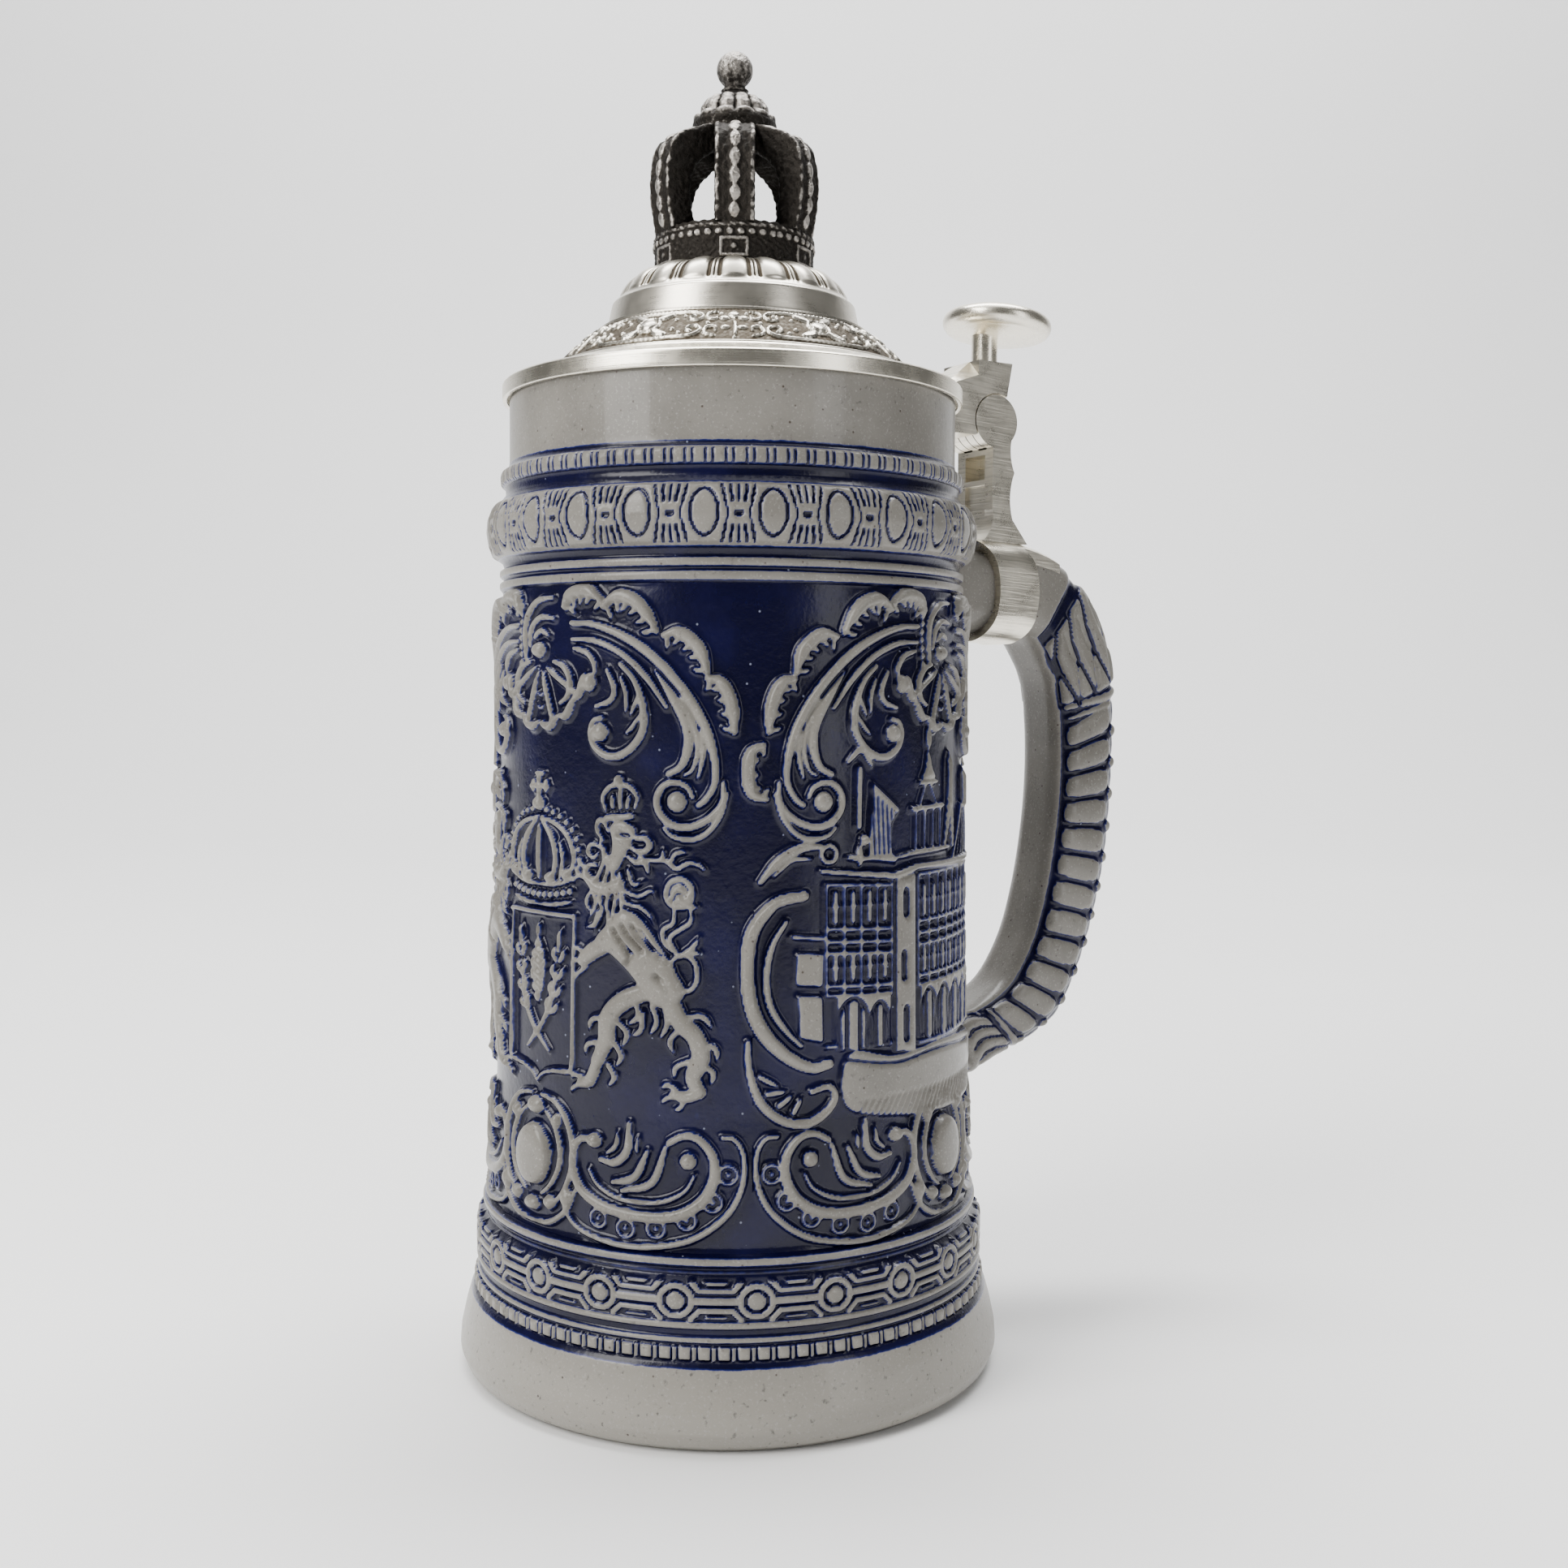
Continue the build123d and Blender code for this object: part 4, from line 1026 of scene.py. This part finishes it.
rim_outside = pot_rows(neck_top, rim_height - 0.02, 0.4)
rim_inside = np.array([(44.2, rim_height - 0.02), (43.3, rim_height - 0.4),
                       (bore_radius, rim_height - 1.3), (bore_radius, neck_top)])
rim_line = np.concatenate([rim_outside, rim_inside])
slot_columns = 12 * slot_count
slots = repeated(slot_count, bead_slots)(rim_line[:, 1], slot_columns)
in_ring = smooth((rim_line[:, 1] - 183.6) / 0.4) * smooth((186.7 - rim_line[:, 1]) / 0.4)
in_ring *= np.arange(len(rim_line)) < len(rim_outside)
slots *= in_ring[:, None]
rim_grey = np.where(in_ring[:, None] > 0.5, smooth((slots - 0.12) / 0.25),
                    np.interp(rim_line[:, 1], *wiped.T)[:, None])
rim_grey[len(rim_outside):] = 1
rim_angles = np.linspace(0, 2 * np.pi, slot_columns, endpoint=False)
rim_points = pot_shape(rim_angles, rim_line[:, :1] + slots, rim_line[:, 1:])
rim_faces = quads(len(rim_line), slot_columns, around=True, over=True)
rim = put_mesh("mug_rim", rim_points.reshape(-1, 3),
               [rim_faces[:-slot_columns], rim_faces[-slot_columns:]], flat=(1,),
               material=stoneware, marks={"crest": rim_grey})
mug_part(rim, "mug_body")


# --- Mug handle ---
# A bar of the same clay, pressed in a two-part mould and luted on to the pot with slip. Its
# inner face is bare; its sides and back carry leaf collars, rows of cobbles and a fluted tail.

def bar_outline(width, depth, rounding, spacing):
    """Rounded rectangle round a bar, from the middle of its inner face round past its back:
    places across and outwards, the way each faces, and the distance from the back's middle."""
    turn = np.linspace(0, np.pi / 2, 9)
    loop = []
    for x, z, first in ((-1, -1, 270), (-1, 1, 180), (1, 1, 90), (1, -1, 0)):
        heading = np.radians(first) - turn
        middle = np.array((x * (width / 2 - rounding), z * (depth / 2 - rounding)))
        loop.append(middle + rounding * np.stack([np.cos(heading), np.sin(heading)], 1))
    loop = np.concatenate([[(0, -depth / 2)], *loop, [(0, -depth / 2)]])
    gone = lengths(loop)
    at = np.linspace(0, gone[-1], int(round(gone[-1] / spacing)) + 1)[:-1]
    place = places_at(at, gone, loop)
    ahead = np.roll(place, -1, 0) - np.roll(place, 1, 0)
    facing = np.stack([-ahead[:, 1], ahead[:, 0]], 1) / np.hypot(*ahead.T)[:, None]
    return place, facing, at - gone[-1] / 2


def bent_bar(name, inner, outer, width, rounding, spacing, draw, material):
    """A closed bar whose inner and outer faces run through two lines of (x, z) places in the
    plane y = 0. Rows are even steps along the middle line, columns go round the bar, and the
    drawn relief stands out along the bar's own facing."""
    middle_line = curve((np.array(inner) + np.array(outer)) / 2, 12)
    depth_line = curve((np.array(outer) - np.array(inner)) / 2, 12)
    gone = lengths(middle_line)
    at = np.linspace(0, gone[-1], int(round(gone[-1] / spacing)) + 1)
    middle = places_at(at, gone, middle_line)
    half = places_at(at, gone, depth_line)
    half_depth = np.hypot(*half.T)
    outward = half / half_depth[:, None]
    place, facing, across = bar_outline(width, 2 * half_depth.mean(), rounding, spacing)
    motif = Relief(across, at, 0.5)
    draw(motif, gone[-1])
    lift = pooled(motif.rise)
    out = place[None, :, 1] / half_depth.mean() * half_depth[:, None] + lift * facing[:, 1]
    beside = place[None, :, 0] + lift * facing[:, 0]
    x = middle[:, :1] + out * outward[:, :1]
    z = middle[:, 1:] + out * outward[:, 1:]
    points = MM * np.stack([x, beside, z], -1)
    rows, columns = lift.shape
    ring = np.arange(columns)[None]
    ends = np.concatenate([ring[:, ::-1], ring + (rows - 1) * columns])
    crests = smooth((lift - 0.30) / 0.35)
    return put_mesh(name, points.reshape(-1, 3), [quads(rows, columns, around=True), ends],
                    flat=(1,), material=material, marks={"crest": crests})


handle_inner = [(46.5, 156), (58, 156), (67, 156.2), (73.5, 156), (77.8, 154.3), (81.2, 149.8),
                (84.2, 143.8), (85.5, 136), (86, 126), (85.6, 116), (84.4, 106.3), (82.4, 96),
                (79.4, 86), (75.8, 79), (71.5, 73.6), (66, 70), (60, 67.6), (53, 66), (46.5, 65)]
handle_outer = [(46.5, 173.4), (58, 173.6), (67, 173.8), (78, 173.6), (87.5, 170.8), (95.6, 163.5),
                (101, 153.5), (103.2, 144.5), (103.6, 131), (103.1, 117.5), (101.8, 104), (99.2, 92),
                (96, 82), (92, 73), (87, 65.4), (79, 60.6), (69, 57.4), (59, 53.4), (46.5, 47.5)]


def handle_relief(motif, length):
    """Leaf collar, twelve cobbles on either side with beads between them, a second collar and
    a fluted tail, parted by blue grooves; the inner face and the upper arm are raised evenly,
    so that they come out bare."""
    across, along = np.abs(motif.across)[None, :], motif.up[:, None]
    bare = smooth((across - 22.6) / 0.5)
    bare = np.maximum(bare, smooth((38 - along) / 1.0) * smooth((across - 3) / 2))
    motif.rise = 0.75 * bare
    motif.sides = (1, -1)
    start, end, count = 65.5, 147.5, 12
    pitch = (end - start) / count
    for number in range(count):
        z = start + (number + 0.5) * pitch
        tall = pitch / 2 - 0.62
        motif.plate([(9.9, z - tall + 0.6), (13, z - tall), (18, z - tall), (21.4, z - tall + 0.4),
                     (21.7, z), (21.4, z + tall - 0.4), (18, z + tall), (13, z + tall),
                     (9.9, z + tall - 0.6), (9.3, z)], 0.75, 0.45, True)
        motif.boss(7.7, z + pitch / 2, 1.3, 1.35, 1.15)
        motif.plate([(0, z - tall), (5.4, z - tall + 0.2), (6.0, z), (5.4, z + tall - 0.2),
                     (0, z + tall)], 0.65, 0.35, True)
    motif.ridge([(0, start - 1.3), (10, start - 1.6), (21.5, start - 4.4)], 1.8, 1.0, (1, 0.7))
    motif.ridge([(9.5, start + 0.4), (21.3, start - 1.4)], 1.3, 0.9, (1, 0.6))
    motif.plate([(0, 40.5), (0, 62.3), (12, 61.8), (22.4, 59.8), (22.4, 41.5)], 0.95, 0.2, True)
    for x in (-1.0, 4.0, 9.0, 14.0, 19.0):
        motif.groove([(x, 40.8), (x + 2.6, 47), (x + 2.2, 54), (x - 0.6, 62)], 0.85, 1.15)
        motif.groove([(x + 3.7, 43.5), (x + 4.4, 48), (x + 3.5, 52.5)], 0.5, 0.85)
        motif.groove([(x + 2.4, 50.5), (x + 4.1, 55.5), (x + 3.9, 60.5)], 0.6, 0.95)
    motif.ridge([(0, end + 1.4), (10, end + 1.2), (21.5, end + 0.2)], 1.5, 1.0, (1, 0.7))
    motif.plate([(0, end + 2.8), (0, end + 11.2), (22.4, end + 11.2), (22.4, end + 2.8)], 0.95, 0.2, True)
    for x in (-1.0, 3.4, 7.8, 12.2, 16.6, 20.6):
        motif.groove([(x, end + 11.6), (x + 1.9, end + 8.8), (x + 2.0, end + 6.0), (x, end + 2.6)], 0.75, 1.1)
        motif.groove([(x + 2.3, end + 10.0), (x + 3.2, end + 7.2), (x + 2.6, end + 4.6)], 0.45, 0.8)
    motif.ridge([(0, end + 12.3), (12, end + 12.4), (23.5, end + 12.0)], 2.4, 1.2, (1, 0.8))
    for x in (0.0, 3.2, 6.4, 9.6, 12.8, 17.0):
        motif.ridge([(x, end + 14.5), (x, length)], 2.0 if x < 16 else 3.6, 0.85, (1, 1), True)


handle_width, handle_rounding, handle_spacing = 16.3, 5.0, 0.42
handle = bent_bar("mug_handle_relief", handle_inner, handle_outer, handle_width,
                  handle_rounding, handle_spacing, handle_relief, stoneware)
mug_part(handle, "mug_handle")


# --- Strap, shank and pin ---
# The fixed half of the hinge, cast in pewter round the handle's arm and filed bright outside.
# A steel pin runs through the lugs, and a pewter disc closes the hole at either side.

def pewter_material(name, tone, rough, turned_grain, filed_grain, dark=None, cast=0.15):
    """Pewter of one tone. Turned rings and file strokes are as deep as their grains say, and
    file strokes darken it too; cast makes its skin rough, and where a dark tone is given, low
    places take it."""
    material, place = new_material(name, Metallic=1.0)
    x, y, z = (place.make("ShaderNodeSeparateXYZ", inputs={"Vector": place}, output=axis)
               for axis in (0, 1, 2))
    square = x * x + y * y
    radius = square.sum("POWER", square, 0.5)
    blur = place.noise(0.006, 4)
    rings = place.make("ShaderNodeCombineXYZ", inputs={
        "X": radius * 5200.0, "Y": z * 5200.0, "Z": blur * 1.5})
    strokes = place.make("ShaderNodeCombineXYZ", inputs={
        "X": x * 90.0, "Y": y * 90.0, "Z": z * 1900.0 + x * 120.0})
    ring_line = rings.make("ShaderNodeTexNoise", inputs={"Vector": rings, "Scale": 1.0, "Detail": 2.0})
    file_line = strokes.make("ShaderNodeTexNoise", inputs={
        "Vector": strokes, "Scale": 1.0, "Detail": 3.0})
    height = ring_line * turned_grain + file_line * filed_grain + place.noise(0.0013, 4) * 3.5 * cast
    bump = place.make("ShaderNodeBump", inputs={
        "Height": height, "Strength": 0.25 + 0.4 * cast,
        "Distance": 0.00006 + 0.00012 * cast + 0.00006 * filed_grain})
    colour = blur.step(0.3, 0.75).blend((*[0.90 * part for part in tone], 1), (*tone, 1))
    colour = (file_line.step(0.48, 0.66) * 0.5 * min(filed_grain, 1)).blend(
        colour, (*[0.58 * part for part in tone], 1))
    roughness = (blur - 0.5) * 0.18 + (ring_line - 0.5) * 0.10 + rough
    if dark:
        crest = place.make("ShaderNodeAttribute", {"attribute_name": "crest"}, output="Fac")
        worn = (crest + (place.noise(0.0009, 4) - 0.5) * (0.5 + 0.6 * cast)).step(0.15, 0.8)
        colour = worn.blend((*dark, 1), colour)
        roughness = (1 - worn) * 0.28 + roughness
    return finish_material(material, Base_Color=colour, Roughness=roughness, Normal=bump)


bright_tone = (0.87, 0.82, 0.70)
pewter_cast = pewter_material("pewter_filed", bright_tone, 0.30, 0.1, 1.6)
pewter_turned = pewter_material("pewter_turned", bright_tone, 0.27, 1.0, 0.0)
pewter_relief = pewter_material("pewter_relief", (0.72, 0.68, 0.59), 0.30, 0.0, 0.1,
                                (0.060, 0.048, 0.033))
pewter_antique = pewter_material("pewter_antiqued", (0.36, 0.335, 0.305), 0.32, 0.0, 0.4,
                                 (0.028, 0.025, 0.022), 1.2)
steel = pewter_material("pin_steel", (0.50, 0.50, 0.50), 0.3, 0.5, 0.0)


def paint(node, material):
    """Gives a CAD piece its material."""
    materials = bpy.data.objects[node].data.materials
    if not materials:
        materials.append(material)
    for place in range(len(materials)):
        materials[place] = material


for node in ("handle_strap", "hinge_shank", "pin_plug_near", "pin_plug_far", "lid_tang"):
    paint(node, pewter_cast)
paint("hinge_pin", steel)
paint("thumb_knob", pewter_turned)


# --- Lid ---
# One pewter casting, turned on a lathe: a plain flange, a band cast in relief and darkened in
# its ground, an upright step and a gadrooned dome that carries the crown.

def turned_piece(name, line, columns, material, lift=None, crest=None, poles=None):
    """A closed turned surface: rows of radius and height pushed out by a lift along the
    outline's own facing, ending on two poles or joined, with an edge, last row to first."""
    ahead = np.gradient(line, axis=0)
    facing = np.stack([ahead[:, 1], -ahead[:, 0]], 1) / np.maximum(np.hypot(*ahead.T), 1e-9)[:, None]
    lift = np.zeros((len(line), columns)) if lift is None else lift
    angles = np.linspace(0, 2 * np.pi, columns, endpoint=False)
    radii = line[:, :1] + lift * facing[:, :1]
    points = pot_shape(angles, radii, line[:, 1:] + lift * facing[:, 1:]).reshape(-1, 3)
    crest = np.ones(lift.shape) if crest is None else crest
    if poles:
        points = np.concatenate([points, MM * np.array([(0, 0, z) for z in poles])])
        crest = np.concatenate([crest.ravel(), (1, 1)])
        groups = list(with_poles(len(line), columns))
    else:
        faces = quads(len(line), columns, around=True, over=True)
        groups = [faces[:-columns], faces[-columns:]]
    return put_mesh(name, points, groups, flat=() if poles else (1,), material=material,
                    marks={"crest": crest})


def lid_part(piece, node):
    """Marks a piece that rides on the lid in place of one CAD node."""
    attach(piece, "lid")
    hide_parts(node)
    return piece


lid_low, lid_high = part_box("lid_shell")
flange_radius = lid_high.x / MM
skirt_z = lid_low.z / MM
seat_z = lid_high.z / MM
under_z = rim_height + 0.3
flange_edge = [(flange_radius - 1.0, under_z), (flange_radius - 1.0, skirt_z),
               (flange_radius - 0.05, skirt_z), (flange_radius, skirt_z + 0.8),
               (flange_radius, rim_height + 1.3), (flange_radius - 0.4, rim_height + 1.7)]
flange_top = (0, rim_height) + np.array([
    (46.4, 2.1), (45.8, 1.9), (43.0, 3.0), (42.6, 2.8), (39.6, 4.1), (39.2, 3.9), (38.2, 4.5),
    (37.8, 4.9), (37.4, 4.7), (36.9, 4.7)])
flange_line = np.concatenate([fired(np.concatenate([flange_edge, flange_top]), 0.16, 0.10),
                              [(36.9, under_z)]])
lid_part(turned_piece("lid_flange", flange_line, 360, pewter_turned), "lid_shell")

band_steps = 46
band_columns = 900
band_foot, band_top = np.array((37.2, rim_height + 4.7)), np.array((27.8, rim_height + 13.2))
belly = np.linspace(0, 1, band_steps)[:, None]
band_outer = (1 - belly) * band_foot + belly * band_top + np.sin(np.pi * belly) * (0.35, 0.35)
band_line = np.concatenate([band_outer, [(25.6, rim_height + 11.0), (35.1, rim_height + 2.6),
                                         (35.1, under_z), (37.2, under_z)]])
band_length = np.hypot(*(band_top - band_foot))


def band_motif(motif, pitch):
    """A rosette in the middle with four leaves, framed by a long flat scroll above and one
    below whose ends curl in; at the pitch's ends, a flower on a stem. Drawn across the pitch
    and up the slope of the band, from the rosette's middle."""
    sprig = pitch / 2
    motif.place = np.array((0, 6.2))
    motif.boss(0, 0, 1.7, 1.7, 0.85)
    motif.ridge([(2.25 * np.cos(a), 2.25 * np.sin(a)) for a in np.linspace(0, 2 * np.pi, 13)],
                0.5, 0.55, (1, 1))
    motif.sides = (1, -1)
    for way in (-1, 1):
        motif.ridge([(1.7, way * 1.9), (2.7, way * 2.7), (3.9, way * 3.3)], 1.7, 0.6, (0.6, 0.8))
        motif.boss(5.4, way * 1.6, 0.45, 0.45, 0.45)
        motif.ridge([(0, way * 4.5), (6.5, way * 4.4), (9.6, way * 3.9), (10.9, way * 2.6),
                     (10.2, way * 1.2), (8.6, way * 1.3), (8.3, way * 2.4), (9.1, way * 2.7)],
                    0.6, 0.55, (1, 0.8))
        motif.boss(6.9, way * 2.9, 0.4, 0.4, 0.4)
        motif.ridge([(sprig - 3.4, way * 4.3), (sprig - 5.3, way * 3.4), (sprig - 5.0, way * 1.5),
                     (sprig - 3.5, way * 1.4), (sprig - 3.3, way * 2.6)], 0.55, 0.5, (0.6, 0.8))
    motif.boss(sprig - 1.9, 1.7, 1.0, 0.8, 0.5)
    motif.boss(sprig - 1.6, -1.6, 0.9, 0.6, 0.45)
    motif.boss(sprig - 2.6, 3.6, 0.45, 0.45, 0.4)
    motif.boss(12.0, 0, 0.45, 0.45, 0.4)
    motif.sides = (1,)
    for end in (-sprig, sprig):
        motif.ridge([(end, -5.0), (end + 0.3, -2.0), (end, 1.6)], 0.55, 0.5)
        motif.boss(end, 3.0, 1.15, 1.15, 0.65)
    motif.rise += 0.06 * np.sin(motif.across * 6)[None, :] * np.sin(motif.up * 6)[:, None]


motif_count = 6
band_radius = 32.5
band_up = np.linspace(0, band_length, band_steps)
band_rise = repeated(motif_count, band_motif, 0.3, band_radius)(band_up, band_columns)
band_fade = smooth(band_up / 0.8) * smooth((band_length - band_up) / 0.8)
band_rims = 0.5 * (1 - smooth((np.minimum(band_up, band_length - band_up) - 0.3) / 0.3))
band_lift = np.zeros((len(band_line), band_columns))
band_lift[:band_steps] = band_rise * band_fade[:, None] + band_rims[:, None]
band_crest = np.ones_like(band_lift)
band_crest[:band_steps] = 0.20 + 0.80 * smooth((band_lift[:band_steps] - 0.08) / 0.35)
lid_part(turned_piece("lid_relief_band", band_line, band_columns, pewter_relief, band_lift,
                      band_crest), "lid_shell")

dome_inside = np.array([(6.0, seat_z - 2.2), (14.8, seat_z - 2.2),
                        (22.2, rim_height + 17.4), (23.3, rim_height + 17.0),
                        (24.4, rim_height + 11.6), (25.6, rim_height + 11.0)])
step_outside = fired((0, rim_height) + np.array([
    (27.8, 13.1), (26.9, 13.5), (26.6, 14.0), (25.6, 18.8), (25.1, 19.3), (24.6, 19.4),
    (24.2, 19.9)]), 0.2, 0.12)
bow = np.linspace(0, 1, 36)[:, None]
dome_outside = ((1 - bow) * (24.0, rim_height + 20.2) + bow * (16.4, seat_z - 0.3)
                + np.sin(np.pi * bow) * (1.0, 1.0))
seat = np.array([(15.0, seat_z - 0.1), (8.0, seat_z - 0.1)])
dome_line = np.concatenate([dome_inside, step_outside, dome_outside, seat])
lobe_count = 18
dome_columns = 44 * lobe_count
turn = np.linspace(0, 2 * np.pi, dome_columns, endpoint=False)
off_lobe = np.abs((turn * lobe_count / (2 * np.pi) + 0.5) % 1 - 0.5) * 2
bulge = np.sqrt(np.clip(1 - (off_lobe / 0.68) ** 2, 0, 1))
rib = np.clip(1 - (np.abs(off_lobe - 0.9) / 0.11) ** 2, 0, 1)
gadroon = np.maximum(bulge * 0.75, rib * 0.4) - 0.45
row = np.arange(len(dome_line)) - len(dome_inside) - len(step_outside)
on_dome = smooth((row + 0.5) / 3) * smooth((len(dome_outside) - row) / 4)
dome_lift = on_dome[:, None] * gadroon[None, :]
dome_crest = 1 - on_dome[:, None] * (1 - smooth((gadroon + 0.32) / 0.35))[None, :]
lid_part(turned_piece("lid_dome", dome_line, dome_columns, pewter_relief, dome_lift,
                      dome_crest, (seat_z - 2.2, seat_z - 0.1)), "lid_shell")


# --- Crown finial ---
# Cast in pewter and antiqued: a base ring with a row of blocks and a framed panel under each
# rib, six ribs with a chain of beads between raised edges, a petalled cap where they meet, and
# a ball on a neck.

crown_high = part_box("crown_circlet")[1]
circlet_radius = crown_high.x / MM
circlet_top = crown_high.z / MM
arch_count = 6

circlet_steps, circlet_columns = 40, 100 * arch_count
circlet_foot = seat_z - 0.9
circlet_outer = np.linspace((circlet_radius - 0.4, circlet_foot),
                            (circlet_radius - 0.4, circlet_top), circlet_steps)
circlet_line = np.concatenate([circlet_outer, [(circlet_radius - 2.6, circlet_top),
                                               (circlet_radius - 2.6, circlet_foot)]])


def circlet_motif(motif, pitch):
    """A row of blocks under the upper edge, and a framed square panel under each rib."""
    motif.ridge([(-pitch, 7.1), (pitch, 7.1)], 0.8, 0.3, (1, 1), True)
    x, z = np.meshgrid(motif.across, motif.up)
    motif.rise += 0.16 * np.sin(2.9 * x + 1.6 * np.sin(1.7 * z)) * np.sin(3.3 * z + np.sin(2.1 * x))
    for x in np.arange(-pitch / 2 + 1.1, pitch / 2, 2.3):
        motif.boss(x, 5.7, 0.85, 0.7, 0.55)
    motif.sides = (1, -1)
    motif.ridge([(0, 1.0), (2.7, 1.0), (2.7, 4.4), (0, 4.4)], 0.7, 0.45, (1, 1), True)
    motif.sides = (1,)
    motif.boss(0, 2.7, 0.8, 0.7, 0.35)


circlet_rise = repeated(arch_count, circlet_motif, radius=circlet_radius)(
    circlet_outer[:, 1] - circlet_foot, circlet_columns)
circlet_lift = np.zeros((len(circlet_line), circlet_columns))
circlet_lift[:circlet_steps] = np.roll(circlet_rise, -circlet_columns // arch_count // 2, 1)
lid_part(turned_piece("crown_circlet_cast", circlet_line, circlet_columns, pewter_antique,
                      circlet_lift, 0.75 * smooth(circlet_lift / 0.6)), "crown_circlet")


def arch_relief(motif, length):
    """Raised edges, and between them along the middle of the outer face a chain of oval beads
    with small ones at their sides, all on a rippled ground."""
    motif.sides = (1, -1)
    motif.ridge([(3.5, 0), (3.5, length)], 0.9, 0.55, (1, 1), True)
    motif.sides = (1,)
    motif.ridge([(0, 1), (0, length - 1)], 1.3, 0.4, (1, 1), True)
    x, z = np.meshgrid(motif.across, motif.up)
    motif.rise += 0.20 * np.sin(2.3 * x + 1.8 * np.sin(0.9 * z)) * np.sin(2.6 * z + np.sin(1.9 * x))
    for z in np.arange(2.0, length - 1, 3.1):
        motif.boss(0.25 * np.sin(5 * z), z, 1.25, 1.6, 0.85)
        motif.sides = (1, -1)
        motif.boss(2.2, z + 1.5, 0.5, 0.8, 0.35)
        motif.sides = (1,)


arch_foot_z = circlet_top - 0.3
arch_top_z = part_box("crown_cap")[0].z / MM + 3.2
arch_width, arch_rounding, arch_spacing = 8.0, 0.9, 0.3
arch_inner = [(circlet_radius - 5.8, arch_foot_z), (circlet_radius - 4.7, arch_foot_z + 5.5),
              (circlet_radius - 4.7, arch_foot_z + 10.0), (circlet_radius - 6.2, arch_top_z - 9.4),
              (circlet_radius - 8.4, arch_top_z - 7.4), (6.4, arch_top_z - 6.0)]
arch_outer = [(circlet_radius - 0.6, arch_foot_z), (circlet_radius + 0.5, arch_foot_z + 6),
              (circlet_radius + 0.6, arch_foot_z + 12), (circlet_radius - 0.9, arch_top_z - 5.2),
              (circlet_radius - 5.0, arch_top_z - 2.6), (6.4, arch_top_z - 0.6)]
for number in range(arch_count):
    arch = bent_bar(f"crown_arch_{number + 1}_cast", arch_inner, arch_outer, arch_width,
                    arch_rounding, arch_spacing, arch_relief, pewter_antique)
    arch.data.transform(Matrix.Rotation(np.radians(-360 / arch_count * number), 4, "Z"))
    lid_part(arch, f"crown_arch_{number + 1}")

cap_low, cap_high = (corner.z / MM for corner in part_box("crown_cap"))
cap_line = np.concatenate([
    [(3.0, cap_low), (7.4, cap_low)],
    fired(np.array([(8.2, cap_low + 0.2), (8.4, cap_low + 3.0), (8.9, cap_low + 4.0),
                    (8.4, cap_low + 5.4), (7.0, cap_low + 6.0), (6.9, cap_low + 7.4),
                    (5.6, cap_high - 1.6), (3.6, cap_high - 0.7), (2.8, cap_high)]), 0.2, 0.15),
])
petal_count = 12
cap_columns = 30 * petal_count
cap_turn = np.linspace(0, 2 * np.pi, cap_columns, endpoint=False)
petal = np.abs(np.sin(petal_count / 2 * cap_turn)) ** 0.7 - 0.5
petal_row = smooth((cap_line[:, 1] - cap_low - 4.4) / 1.0) * smooth((cap_high - 0.9 - cap_line[:, 1]) / 1.0)
cap_lift = 0.75 * petal_row[:, None] * petal[None, :]
cap_crest = petal_row[:, None] * smooth((cap_lift + 0.35) / 0.6) * 0.6 + 0.12
lid_part(turned_piece("crown_cap_cast", cap_line, cap_columns, pewter_antique, cap_lift,
                      cap_crest, (cap_low, cap_high)), "crown_cap")

orb_low, orb_high = (corner.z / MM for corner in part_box("crown_orb"))
ball_radius, orb_columns = 3.8, 96
orb_middle = orb_high - ball_radius
lean = np.linspace(-np.pi / 2 + 0.62, np.pi / 2 - 0.06, 40)
orb_line = np.concatenate([
    [(1.0, orb_low + 0.1), (2.7, orb_low + 0.1), (2.9, orb_low + 0.6), (2.3, orb_low + 1.0)],
    np.stack([ball_radius * np.cos(lean), orb_middle + ball_radius * np.sin(lean)], 1)])
# The ball's crest mark rises with height, so its dark tone is strongest below its middle and fades out
# towards its top.
orb_paler_upward = np.interp(orb_line[:, 1], (orb_middle - 2, orb_high), (0.25, 1.0))
lid_part(turned_piece("crown_orb_cast", orb_line, orb_columns, pewter_antique,
                      crest=np.repeat(orb_paler_upward[:, None], orb_columns, 1),
                      poles=(orb_low + 0.1, orb_high)), "crown_orb")


# --- Sizes ---
# The box round the object as packed and as it now stands.

boxes = {"cad": cad_box, "scene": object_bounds()}
{name: [list(low), list(high)] for name, (low, high) in boxes.items()}
